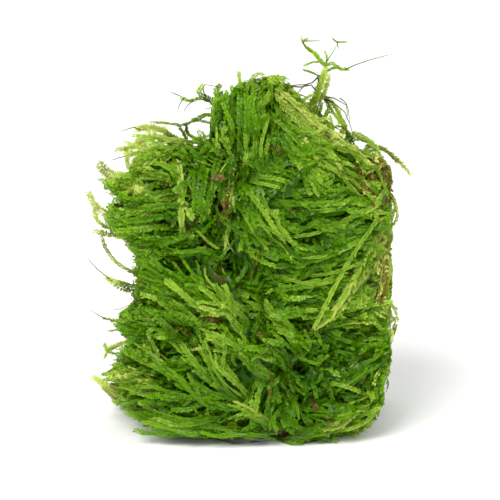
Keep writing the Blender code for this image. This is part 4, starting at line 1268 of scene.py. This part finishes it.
# %% Strays at the outline
# Each stray: its tuft, kind, width, tone and depth, and its places from root to tip
STRAYS = [
    # The sprig over the crown and the net of shoots around its foot
    (CROWN, "shoot", 1.3, 0.66, -3, ((302, 120), (310, 108), (317, 92), (321, 82), (325, 70))),
    (CROWN, "shoot", 1.2, 0.7, -4, ((310, 122), (313, 108), (317, 96), (322, 82), (326, 66))),
    (CROWN, "shoot", 1.0, 0.68, -3, ((298, 112), (306, 107), (314, 98), (320, 84), (323, 74))),
    (CROWN, "shoot", 1.0, 0.72, -4, ((318, 124), (316, 110), (320, 100), (326, 88), (329, 74))),
    (CROWN, "sprout", 1.2, 0.6, -3, ((308, 122), (304, 114), (312, 104), (318, 96))),
    (CROWN, "sprout", 0.9, 0.66, -3, ((326, 68), (320, 60), (314, 53), (307, 48))),
    (CROWN, "sprout", 0.8, 0.7, -3, ((313, 53), (307, 48), (303, 42), (301, 36))),
    (CROWN, "sprout", 0.5, 0.66, -3, ((303, 44), (304, 40), (308, 39))),
    (CROWN, "bare", 1.5, 0.5, -3, ((304, 41), (313, 41), (322, 40))),
    (CROWN, "sprout", 0.6, 0.66, -3, ((326, 66), (327, 58), (325, 51))),
    (CROWN, "sprout", 0.45, 0.62, -3, ((326, 63), (315, 62), (303, 66))),
    (CROWN, "sprout", 0.8, 0.66, -3, ((324, 68), (332, 63), (340, 69), (350, 70))),
    (CROWN, "sprout", 0.6, 0.6, -3, ((326, 72), (333, 68), (342, 68))),
    (CROWN, "bare", 1.5, 0.5, -3, ((344, 70), (360, 63), (380, 57), (398, 53))),
    (CROWN, "bare", 1.3, 0.4, -3, ((326, 62), (333, 52), (338, 43))),
    (CROWN, "sprout", 0.45, 0.5, -3, ((332, 38), (337, 42), (347, 42))),
    (CROWN, "bare", 1.6, 0.4, -3, ((320, 76), (308, 72), (299, 67))),
    (CROWN, "bare", 2.0, BROWN, -3, ((318, 77), (310, 84), (298, 85), (285, 86))),
    (CROWN, "bare", 2.0, BROWN, -3, ((317, 92), (309, 84), (300, 90), (296, 98))),
    (CROWN, "bare", 1.7, 0.4, -3, ((318, 76), (319, 84), (316, 92))),
    # The net of shoots from the sprig down to the right shoulder
    (CROWN, "shoot", 1.1, 0.7, -3, ((350, 142), (344, 124), (337, 109), (329, 100), (320, 94))),
    (CROWN, "sprout", 1.0, 0.66, -3, ((332, 132), (326, 122), (318, 116), (314, 106))),
    (CROWN, "sprout", 0.8, 0.64, -4, ((326, 128), (324, 118), (328, 110), (330, 104))),
    (CROWN, "sprout", 0.7, 0.68, -3, ((340, 144), (334, 134), (332, 124), (330, 116))),
    (CROWN, "sprout", 1.1, 0.66, -3, ((338, 142), (342, 132), (346, 124))),
    (CROWN, "sprout", 1.0, 0.7, -4, ((354, 144), (350, 135), (343, 126), (338, 118))),
    (CROWN, "sprout", 0.8, 0.66, -3, ((316, 120), (320, 110), (322, 102))),
    (CROWN, "sprout", 0.8, 0.66, -3, ((292, 97), (302, 102), (311, 106))),
    (CROWN, "sprout", 0.7, 0.7, -3, ((296, 106), (305, 99), (313, 94))),
    (CROWN, "sprout", 0.3, BROWN, -3, ((290, 86), (300, 87), (311, 85))),
    (CROWN, "bare", 1.7, 0.45, -3, ((321, 96), (334, 98), (347, 105), (348, 116), (341, 126))),
    (CROWN, "bare", 1.7, BROWN, -3, ((321, 97), (334, 103), (345, 112), (352, 130), (352, 140))),
    (CROWN, "bare", 1.6, BROWN, -3, ((322, 130), (330, 124), (336, 134))),
    (CROWN, "shoot", 0.9, 0.66, -3, ((316, 108), (324, 118), (332, 125), (341, 131), (350, 138))),
    (CROWN, "sprout", 0.8, 0.68, -4, ((328, 102), (331, 110), (338, 118), (345, 126))),
    (CROWN, "sprout", 0.5, 0.62, -3, ((320, 96), (326, 103), (328, 111), (325, 119))),
    (CROWN, "sprout", 0.45, 0.6, -4, ((332, 112), (327, 114), (322, 118))),
    (CROWN, "sprout", 0.5, 0.7, -3, ((344, 128), (337, 126), (331, 130), (328, 137))),
    (CROWN, "sprout", 0.7, 0.68, -4, ((352, 146), (361, 151), (370, 151), (377, 149))),
    (CROWN, "bare", 1.6, BROWN, -3, ((323, 97), (330, 106), (336, 116), (340, 128))),
    (CROWN, "bare", 1.6, 0.45, -3, ((318, 116), (322, 125), (327, 129), (331, 122))),
    (CROWN, "bare", 1.6, BROWN, -3, ((298, 94), (306, 97), (310, 101))),
    (CROWN, "bare", 1.5, 0.4, -3, ((340, 98), (347, 104), (349, 114), (350, 126))),
    (CROWN, "sprout", 0.4, 0.5, -3, ((318, 76), (311, 72), (303, 70))),
    (CROWN, "bare", 1.5, BROWN, -3, ((337, 42), (338, 46), (339, 50))),
    (CROWN, "shoot", 1.3, 0.72, -3, ((344, 140), (354, 134), (364, 138), (371, 143), (376, 150))),
    (CROWN, "shoot", 1.1, 0.66, -4, ((348, 144), (358, 138), (368, 142), (376, 148), (380, 156))),
    (CROWN, "sprout", 1.2, 0.7, -3, ((364, 150), (370, 147), (377, 150))),
    (CROWN, "shoot", 1.0, 0.74, -3, ((366, 146), (378, 147), (388, 152), (400, 162), (411, 175))),
    (CROWN, "sprout", 0.8, 0.9, -3, ((374, 148), (384, 149), (393, 157), (398, 163))),
    (CROWN, "sprout", 0.9, 0.64, -4, ((352, 158), (360, 152), (368, 160), (378, 163))),
    (CROWN, "shoot", 1.0, 0.68, -4, ((376, 150), (382, 158), (386, 168), (389, 180), (390, 192))),
    # Ochre shoots over the end of the branch
    (RIGHT_SIDE, "sprout", 1.3, 0.9, -11, ((350, 170), (364, 161), (379, 160), (389, 172))),
    (RIGHT_SIDE, "sprout", 1.3, 0.885, -11, ((354, 178), (369, 167), (383, 168), (391, 184))),
    (RIGHT_SIDE, "sprout", 1.3, 0.92, -11, ((362, 186), (374, 174), (385, 177), (391, 192))),
    (RIGHT_SIDE, "shoot", 1.17, 0.7, -10, ((344, 160), (360, 152), (375, 155), (387, 166), (391, 180))),
    (RIGHT_SIDE, "sprout", 1.17, 0.91, -11, ((356, 196), (368, 184), (380, 186), (390, 200))),
    (RIGHT_SIDE, "sprout", 0.9, 0.885, -13, ((390, 170), (378, 174), (366, 184), (356, 192))),
    (RIGHT_SIDE, "sprout", 0.8, 0.885, -13, ((386, 162), (376, 168), (364, 174), (352, 178))),
    (RIGHT_SIDE, "sprout", 0.6, 0.62, -13, ((391, 186), (382, 178), (374, 168), (366, 160))),
    (RIGHT_SIDE, "sprout", 0.5, 0.7, -13, ((390, 194), (380, 184), (371, 176))),
    (RIGHT_SIDE, "sprout", 0.9, 0.885, -13, ((391, 200), (380, 196), (368, 200), (358, 206))),
    (RIGHT_SIDE, "sprout", 0.6, 0.66, -13, ((391, 178), (381, 190), (372, 200), (360, 204))),
    # Tips over the crown
    (CROWN, "sprout", 0.78, 0.64, -5, ((244, 98), (240, 86), (239, 71))),
    (CROWN, "shoot", 1.17, 0.66, -4, ((256, 104), (262, 84), (274, 78), (286, 79))),
    (CROWN, "bare", 1.6, BROWN, -4, ((276, 84), (284, 78), (291, 81))),
    (CROWN, "shoot", 1.04, 0.66, -4, ((250, 104), (248, 86), (256, 75), (266, 75))),
    (CROWN, "shoot", 1.17, 0.64, -3, ((224, 118), (219, 100), (217, 90), (221, 84))),
    (CROWN, "shoot", 1.04, 0.6, -3, ((228, 120), (220, 104), (208, 98), (199, 93), (204, 84))),
    (CROWN, "sprout", 0.78, 0.62, -3, ((216, 106), (202, 98), (191, 101), (180, 97))),
    (CROWN, "bare", 1.8, BROWN, -3, ((190, 101), (180, 96), (167, 91))),
    (CROWN, "bare", 1.4, BROWN, -3, ((194, 100), (187, 106), (183, 114))),
    (CROWN, "bare", 1.4, BROWN, -3, ((184, 98), (180, 104), (177, 112))),
    (CROWN, "bare", 1.5, BROWN, -3, ((206, 99), (203, 90), (204, 84), (214, 86), (222, 88))),
    (CROWN, "sprout", 0.65, 0.6, -3, ((222, 120), (210, 115), (200, 118), (191, 120))),
    (CROWN, "bare", 1.4, 0.45, -3, ((216, 108), (210, 108), (203, 110))),
    # Shoots with gaps between them over the upper left
    (UPPER, "shoot", 0.65, 0.67, -3, ((214, 124), (196, 120), (184, 125), (168, 123), (150, 122))),
    (UPPER, "shoot", 1.3, 0.79, -3, ((190, 152), (172, 136), (156, 129), (134, 131))),
    (UPPER, "shoot", 1.04, 0.79, -4, ((184, 148), (166, 132), (150, 126), (136, 128))),
    (UPPER, "bare", 1.5, 0.5, -4, ((140, 130), (132, 127), (125, 131), (115, 131))),
    (UPPER, "bare", 1.8, BROWN, -3, ((198, 144), (190, 136), (186, 128), (187, 122))),
    (UPPER, "sprout", 0.78, 0.71, -3, ((196, 150), (188, 142), (182, 131), (177, 125))),
    (UPPER, "sprout", 1.04, 0.75, -3, ((184, 156), (174, 144), (167, 134), (163, 127))),
    (UPPER, "shoot", 0.91, 0.77, -4, ((182, 154), (164, 139), (148, 140), (128, 147))),
    (UPPER, "shoot", 1.04, 0.79, -4, ((172, 156), (152, 146), (134, 147), (115, 150))),
    (UPPER, "sprout", 1.04, 0.73, -4, ((150, 172), (130, 168), (127, 158), (126, 148))),
    (UPPER, "shoot", 0.91, 0.75, -4, ((170, 162), (152, 153), (138, 153), (126, 157))),
    (UPPER, "bare", 1.3, BROWN, -4, ((128, 156), (118, 158), (109, 162))),
    (UPPER, "sprout", 0.8, 0.72, -4, ((186, 124), (187, 132), (194, 138), (204, 140))),
    (CROWN, "sprout", 0.7, 0.66, -4, ((216, 140), (208, 136), (200, 139), (190, 144))),
    (CROWN, "sprout", 0.7, 0.66, -4, ((218, 124), (214, 118), (207, 114), (198, 117))),
    (UPPER, "shoot", 0.8, 0.76, -4, ((176, 142), (160, 136), (146, 138), (134, 141))),
    (UPPER, "sprout", 0.7, 0.74, -4, ((152, 140), (149, 133), (150, 126))),
    (UPPER, "sprout", 0.6, 0.74, -4, ((138, 150), (137, 142), (139, 134))),
    (UPPER, "shoot", 1.56, 0.8, -5, ((146, 190), (124, 179), (108, 172), (98, 162))),
    (UPPER, "shoot", 1.3, 0.8, -4, ((140, 192), (118, 182), (104, 174), (97, 165))),
    # Loose shoots at the left side, from top to bottom
    (UPPER, "shoot", 1.43, 0.8, -5, ((124, 218), (104, 212), (94, 203), (88, 192))),
    (UPPER, "bare", 1.4, BROWN, -5, ((128, 212), (118, 204), (112, 195), (98, 190))),
    (UPPER, "bare", 1.3, 0.5, -5, ((126, 210), (114, 205), (102, 202))),
    (UPPER, "sprout", 1.04, 0.73, -5, ((124, 232), (108, 228), (98, 222), (94, 208))),
    (UPPER, "shoot", 1.17, 0.79, -5, ((146, 244), (126, 236), (110, 234), (93, 231))),
    (LOWER, "shoot", 0.78, 0.71, -5, ((148, 282), (132, 272), (116, 262), (106, 249), (101, 235))),
    (LOWER, "shoot", 1.17, 0.73, -5, ((158, 296), (138, 292), (120, 287), (106, 277))),
    (LOWER, "sprout", 0.91, 0.75, -4, ((148, 286), (132, 286), (118, 282), (106, 278))),
    (LOWER, "bare", 1.6, 0.45, -5, ((112, 281), (98, 270), (84, 255))),
    (LOWER, "bare", 1.5, 0.5, -5, ((156, 298), (136, 302), (122, 309), (107, 310))),
    (LOWER, "shoot", 0.91, 0.73, -5, ((156, 318), (136, 317), (118, 321), (102, 318))),
    (LOWER, "bare", 1.4, 0.5, -5, ((108, 320), (98, 315), (86, 307))),
    (LOWER, "sprout", 0.52, 0.69, -5, ((132, 322), (120, 329), (108, 331))),
    (LOWER, "shoot", 1.04, 0.77, -5, ((150, 352), (132, 342), (118, 345), (105, 351))),
    (LOWER, "sprout", 0.78, 0.67, -5, ((116, 354), (108, 351), (104, 343))),
    (LOWER, "sprout", 0.65, 0.62, -5, ((118, 346), (109, 350), (104, 359))),
    (LOWER, "bare", 1.5, BROWN, -5, ((132, 364), (118, 367), (107, 372), (112, 381), (122, 384))),
    (LOWER, "shoot", 1.3, 0.8, -5, ((138, 402), (118, 392), (104, 384), (92, 376))),
    (LOWER, "sprout", 0.91, 0.77, -5, ((126, 404), (112, 396), (100, 384))),
    # Shoots and old stems that loop out at the right side
    (RIGHT_SIDE, "shoot", 0.9, 0.78, -10, ((380, 176), (387, 188), (390, 204), (389, 222))),
    (RIGHT_SIDE, "shoot", 0.9, 0.76, -10, ((376, 196), (384, 208), (388, 224), (389, 244))),
    (RIGHT_SIDE, "shoot", 0.8, 0.885, -10, ((372, 170), (381, 180), (387, 192), (391, 206))),
    (RIGHT_SIDE, "shoot", 0.9, 0.74, -9, ((378, 232), (386, 246), (390, 262), (389, 284))),
    (RIGHT_SIDE, "sprout", 0.8, 0.78, -9, ((380, 284), (387, 294), (391, 306))),
    (RIGHT_SIDE, "sprout", 0.9, 0.72, -8, ((381, 186), (390, 194), (395, 203), (396, 212))),
    (RIGHT_SIDE, "sprout", 1.0, 0.7, -8, ((384, 232), (395, 222), (397, 212), (394, 202))),
    (RIGHT_SIDE, "sprout", 0.9, 0.68, -8, ((384, 250), (390, 262), (391, 276), (388, 290))),
    (RIGHT_SIDE, "sprout", 1.1, 0.72, -8, ((380, 300), (390, 304), (396, 312), (396, 322))),
    (RIGHT_SIDE, "sprout", 1.1, 0.66, -8, ((382, 340), (392, 334), (396, 324))),
    (RIGHT_SIDE, "bare", 1.7, BROWN, -8, ((372, 196), (391, 206), (393, 226), (376, 240))),
    (RIGHT_SIDE, "bare", 1.7, BROWN, -7, ((370, 250), (390, 258), (392, 282), (378, 300))),
    (RIGHT_SIDE, "bare", 1.6, BROWN, -7, ((372, 306), (393, 312), (394, 330), (378, 340))),
    (RIGHT_SIDE, "sprout", 0.65, 0.5, -7, ((378, 326), (390, 322), (397, 317))),
    # The brown foot and old stems under the hem
    (LOWER, "bare", 2.6, BROWN, -19, ((196, 438), (220, 442), (246, 443), (262, 443))),
    (CORNER, "bare", 3.0, BROWN, -19, ((250, 443), (276, 444), (302, 443), (330, 441), (352, 437))),
    (CORNER, "sprout", 1.0, 0.4, -19, ((270, 436), (286, 441), (304, 443))),
    (CORNER, "sprout", 1.0, 0.5, -19, ((300, 437), (320, 441), (340, 440))),
    (CORNER, "sprout", 1.0, 0.44, -19, ((262, 438), (278, 442), (292, 443))),
]
print(len(STRAYS), "strays")

# %% [markdown]
# A place in the picture says nothing about depth. For what lies on top, the depth is read from the
# fronds that are already planted: of those that the camera sees near the place, the front ones
# count, and the line runs a little before them, with its root pushed in. A stray takes its own
# depth, with a slight wave.

# %% From the picture into the moss
# The picture's middle and floor line, and how wide one of its steps is on the moss, in millimetres
PICTURE_MIDDLE = 250
PICTURE_FLOOR = 446
PICTURE_STEP = 0.27
# How near a planted knot must be to count, how many count at least, and the percentile taken as front
NEAR_BY = 3.0
FEWEST_NEAR = 12
FRONT_SHARE = 15
ROOT_LIFT = -2.5
LIFTED_AT = 0.3
DEPTH_WAVE = 3.0
DEPTH_TURN = 0.4
DEPTH_SLANT = 0.7


def smooth_line(points):
    """A smooth curve through given points, read at every knot."""
    points = np.array(points, float)
    ends = np.concatenate([[2 * points[0] - points[1]], points, [2 * points[-1] - points[-2]]])
    found = []
    for share in np.linspace(0, len(points) - 1.000001, KNOTS):
        at, t = int(share), share - int(share)
        a, b, c, d = ends[at : at + 4]
        bend = 2 * a - 5 * b + 4 * c - d
        found.append(0.5 * (2 * b + (c - a) * t + bend * t**2 + (3 * b - a - 3 * c + d) * t**3))
    return np.array(found)


def in_picture(places):
    """A smooth line through these places of the picture, across and up it in millimetres."""
    flat = smooth_line([(*place, 0) for place in places])
    return (flat[:, 0] - PICTURE_MIDDLE) * PICTURE_STEP, (PICTURE_FLOOR - flat[:, 1]) * PICTURE_STEP


def at_depth(places, depth):
    """The line that the camera sees at these places, near this depth."""
    across, up = in_picture(places)
    depth = depth + DEPTH_WAVE * np.sin((across - DEPTH_SLANT * up) * DEPTH_TURN)
    rise = (up - MIDDLE_UP) * math.sin(VIEW_ELEVATION)
    return point_seen(across, up, (depth - rise) / (rise / CAMERA_AWAY + math.cos(VIEW_ELEVATION)))


all_knots = np.concatenate([
    grown["lines"].reshape(-1, 3) for kinds in planted.values() for _, grown in kinds
])
*knots_seen, knots_ahead = seen(all_knots)
knots_seen = np.stack(knots_seen, 1)


def on_the_moss(places, lift):
    """A line over the front of the planted fronds, seen at these places, with its root pushed in."""
    across, up = in_picture(places)
    ahead = []
    for place in np.stack([across, up], 1):
        gaps = np.linalg.norm(knots_seen - place, axis=1)
        near = gaps < max(NEAR_BY, np.partition(gaps, FEWEST_NEAR)[FEWEST_NEAR])
        ahead.append(np.percentile(knots_ahead[near], FRONT_SHARE))
    ahead = [min(ahead[max(0, knot - 1) : knot + 2]) for knot in range(KNOTS)]
    ahead = np.convolve(np.pad(ahead, 1, mode="edge"), [0.25, 0.5, 0.25], mode="valid")
    rises = np.interp(np.linspace(0, 1, KNOTS), [0, LIFTED_AT, 1], [ROOT_LIFT, lift, lift / 2])
    line = point_seen(across, up, ahead - rises)
    line[:, 2] = np.maximum(line[:, 2], FLOOR_GAP)
    return line


print(len(all_knots), "knots of planted fronds give the depth")

# %% [markdown]
# Now all of it is laid in place. A listed lock is drawn like the planted ones: its fronds
# start and end at different places, spread to its sides and wave, and some have side shoots.

# %% Lay what is listed
TOP_LIFT = 2.7
LOCK_LIFT = 0.6
LOCK_DARKER = 0.06
HAND_STARTS, HAND_ENDS = (0, 0.35), (0.65, 1)
HAND_CLOSING = 0.5
HAND_BEND = 1.7
HAND_WAVE = 0.8
HAND_HEIGHTS = (-1.0, 1.4)


def placed_by_hand(lines, tones):
    """Listed lines as fronds that face the camera."""
    lines = np.array(lines)
    outs = np.broadcast_to(-AHEAD, lines.shape)
    return {"lines": lines, "outs": outs, "tones": np.array(tones), "lengths": measured(lines)}


def lock_on_top(middle, tone, count, spread):
    """Fronds that follow one given line, spread to its sides and closer at their tips."""
    step = np.linspace(0, 1, KNOTS)
    sides = unit(np.cross(np.gradient(middle, axis=0), AHEAD))
    start = dice.uniform(*HAND_STARTS, count)
    end = dice.uniform(*HAND_ENDS, count)
    shares = start[:, None] + (end - start)[:, None] * step[None]
    lines = read_along(np.repeat(middle[None], count, 0), shares)
    aside = dice.uniform(-1, 1, count)[:, None] * spread * PICTURE_STEP * (1 - HAND_CLOSING * step[None])
    aside = aside + dice.normal(0, HAND_BEND, count)[:, None] * step[None] ** 2
    waves = dice.uniform(0, 2 * math.pi, (count, 1)) + dice.uniform(*WAVES, (count, 1)) * step
    aside = aside + WAVE_HEIGHT * HAND_WAVE * np.sin(waves)
    above = dice.uniform(*HAND_HEIGHTS, count)[:, None] * np.minimum(step * RISEN_BY, 1)[None]
    lines = lines + read_along(np.repeat(sides[None], count, 0), shares) * aside[..., None]
    lines = lines - above[..., None] * AHEAD
    lines[..., 2] = np.maximum(lines[..., 2], FLOOR_GAP)
    return placed_by_hand(lines, tone - LOCK_DARKER + dice.normal(0, LOCK_TONES, count))


by_hand = {tuft: [] for tuft in TUFTS}
for tuft, kind, width, tone, places in ON_TOP:
    by_hand[tuft].append((kind, placed_by_hand([on_the_moss(places, TOP_LIFT)], [tone]), [width]))
for tuft, tone, count, spread, places in COMBED_LOCKS:
    lock = lock_on_top(on_the_moss(places, LOCK_LIFT), tone, count, spread)
    by_hand[tuft].append(("fine", lock, dice.uniform(*FROND_WIDTHS, count)))
    shoots = side_shoots(lock)
    by_hand[tuft].append(("short", shoots, dice.uniform(*FROND_WIDTHS, len(shoots["lines"]))))
for tuft, kind, width, tone, depth, places in STRAYS:
    by_hand[tuft].append((kind, placed_by_hand([at_depth(places, depth)], [tone]), [width]))
print("by hand:", {tuft: len(made) for tuft, made in by_hand.items()})

# %% [markdown]
# ## From lines to leaves
# The last step bends a copy of a frond along each line. For every point of the frond, its place
# along the line is read first, then its side and height are added in the directions found there.
# All copies of one tuft become one mesh with its mat, and that mesh replaces the tuft's CAD solid.

# %% Grow the meshes
# How far fronds are rolled about their line and twisted along it, in degrees
ROLL, TWIST = 38.0, 45.0
HAND_ROLL, HAND_TWIST = 22.0, 30.0
# The chart's greens, from dark to pale, and where its browns start
GREENS = (0.03, 0.78)
BROWNS_FROM = 0.87
# Up the chart, from dark to pale: a frond's root, dark for old growth and as painted shade, how much further
# its tip is, and how much further its leaves' edges are, as a painted wet sheen and glow
ROOT_AGE_AND_SHADE, TIP_AGE_AND_SHADE, EDGE_SHEEN_AND_GLOW = 0.06, 0.52, 0.4
UP_CHART_LIMITS = (0.02, 0.98)
# Faces are spread a little over the chart, so that each has some area there
CHART_SPREAD = 0.004
# The mat's places on the chart are dark: partly old stems, partly painted shade inside the tuft
MAT_SHADES, MAT_AGES_AND_SHADE = [0.05, 0.15, 0.25, 0.35], [0.02, 0.1, 0.2]
MAT_AGE_SPREAD = 0.02
LOWEST = 0.05


def chart_places(frond, tones):
    """Where every face corner of a frond's copies lies on the chart, one tone for each copy."""
    corners = frond["faces"].ravel()
    across = frond["points"][corners, 1]
    tone = tones[:, None] + np.repeat(frond["shifts"], 4)[None]
    u = np.where(tone > BROWNS_FROM, tone, np.clip(tone, *GREENS)) + (across * CHART_SPREAD)[None]
    up_chart = ROOT_AGE_AND_SHADE + TIP_AGE_AND_SHADE * np.clip(frond["points"][corners, 0], 0, 1)
    # Leaves' edges are set further up the chart, to paler colours: a painted wet sheen and glow
    up_chart = up_chart + EDGE_SHEEN_AND_GLOW * (np.abs(across) / LEAF_LENGTH) + np.repeat(frond["ages"], 4)
    v = np.repeat(np.clip(up_chart, *UP_CHART_LIMITS)[None], len(tones), 0)
    return np.stack([u, v], 2).reshape(-1, 2)


def bend_fronds(kind, grown, widths, roll=ROLL, twist=TWIST):
    """Points, faces and chart places of copies of the fronds, one along each line."""
    found = []
    variants = dice.integers(0, len(fronds[kind]), len(grown["lines"]))
    rolls = np.radians(dice.normal(0, roll, len(variants)))
    twists = np.radians(dice.normal(0, twist, len(variants)))
    for variant, frond in enumerate(fronds[kind]):
        mine = np.flatnonzero(variants == variant)
        if not len(mine):
            continue
        lines, outs = grown["lines"][mine], grown["outs"][mine]
        along = frond["points"][:, 0]
        shares = np.repeat(along[None], len(mine), 0)
        ways = unit(np.gradient(lines, axis=1))
        outs = unit(outs - ways * (outs * ways).sum(2, keepdims=True))
        sides = np.cross(ways, outs)
        place = read_along(lines, shares) + read_along(ways, shares) * (
            np.maximum(shares - 1, 0) * grown["lengths"][mine][:, None]
        )[..., None]
        out, side = read_along(outs, shares), read_along(sides, shares)
        angle = rolls[mine][:, None] + twists[mine][:, None] * (shares - 0.5)
        turned_side = side * np.cos(angle)[..., None] + out * np.sin(angle)[..., None]
        turned_out = out * np.cos(angle)[..., None] - side * np.sin(angle)[..., None]
        width = widths[mine][:, None, None]
        points = place + turned_side * frond["points"][None, :, 1:2] * width
        points = points + turned_out * frond["points"][None, :, 2:3] * width
        faces = frond["faces"][None] + (np.arange(len(mine)) * len(along))[:, None, None]
        chart = chart_places(frond, grown["tones"][mine])
        found.append((points.reshape(-1, 3), faces.reshape(-1, 4), chart))
    return found


def mat_part(tuft):
    """The mat's own points, faces and chart places, which are dark: old stems and painted shade inside the
    tuft.
    """
    points = mesh_points(mats[tuft])
    faces = np.array([list(face.vertices) for face in mats[tuft].data.polygons])
    u = np.repeat(dice.choice(MAT_SHADES, len(faces)), 3)
    u = u + np.tile([0, CHART_SPREAD, CHART_SPREAD], len(faces))
    v = np.repeat(dice.choice(MAT_AGES_AND_SHADE, len(faces)), 3)
    v = v + np.tile([0, 0, MAT_AGE_SPREAD], len(faces))
    return points, faces, np.stack([u, v], 1)


def joined(name, parts):
    """One mesh of all the parts. A face whose last corner is repeated has three corners."""
    mesh = bpy.data.meshes.new(name)
    starts = np.cumsum([0] + [len(points) for points, _, _ in parts])
    points = np.concatenate([points for points, _, _ in parts])
    points[:, 2] = np.maximum(points[:, 2], LOWEST)
    corners, charts, sizes = [], [], []
    for start, (_, faces, chart) in zip(starts, parts):
        keep = np.ones(faces.shape, bool)
        if faces.shape[1] == 4:
            keep[:, 3] = faces[:, 3] != faces[:, 2]
        corners.append((faces + start)[keep])
        charts.append(chart.reshape(*faces.shape, 2)[keep])
        sizes.append(keep.sum(1))
    corners, sizes = np.concatenate(corners), np.concatenate(sizes)
    mesh.vertices.add(len(points))
    mesh.vertices.foreach_set("co", (points * MM).ravel())
    mesh.loops.add(len(corners))
    mesh.loops.foreach_set("vertex_index", corners.astype(np.int32))
    mesh.polygons.add(len(sizes))
    mesh.polygons.foreach_set("loop_start", (np.cumsum(sizes) - sizes).astype(np.int32))
    mesh.update(calc_edges=True)
    layer = mesh.uv_layers.new(name=CHART)
    layer.data.foreach_set("uv", np.concatenate(charts).astype(np.float32).ravel())
    mesh.shade_smooth()
    piece = bpy.data.objects.new(name, mesh)
    bpy.context.scene.collection.objects.link(piece)
    return piece


total = 0
for tuft, kinds in planted.items():
    parts = [mat_part(tuft)]
    for kind, grown in kinds:
        widths = dice.uniform(*FROND_WIDTHS, len(grown["lines"]))
        parts += bend_fronds(kind, grown, widths)
    for kind, grown, width in by_hand[tuft]:
        parts += bend_fronds(kind, grown, np.array(width), HAND_ROLL, HAND_TWIST)
    piece = joined("weeping_" + tuft, parts)
    piece.data.materials.append(moss)
    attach(piece, "root")
    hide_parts(tuft)
    bpy.data.objects.remove(mats[tuft])
    triangles = sum(len(face.vertices) - 2 for face in piece.data.polygons)
    total += triangles
    print(piece.name, triangles, "triangles", [round(side / MM, 1) for side in piece.dimensions])
print("moss in all:", total, "triangles")
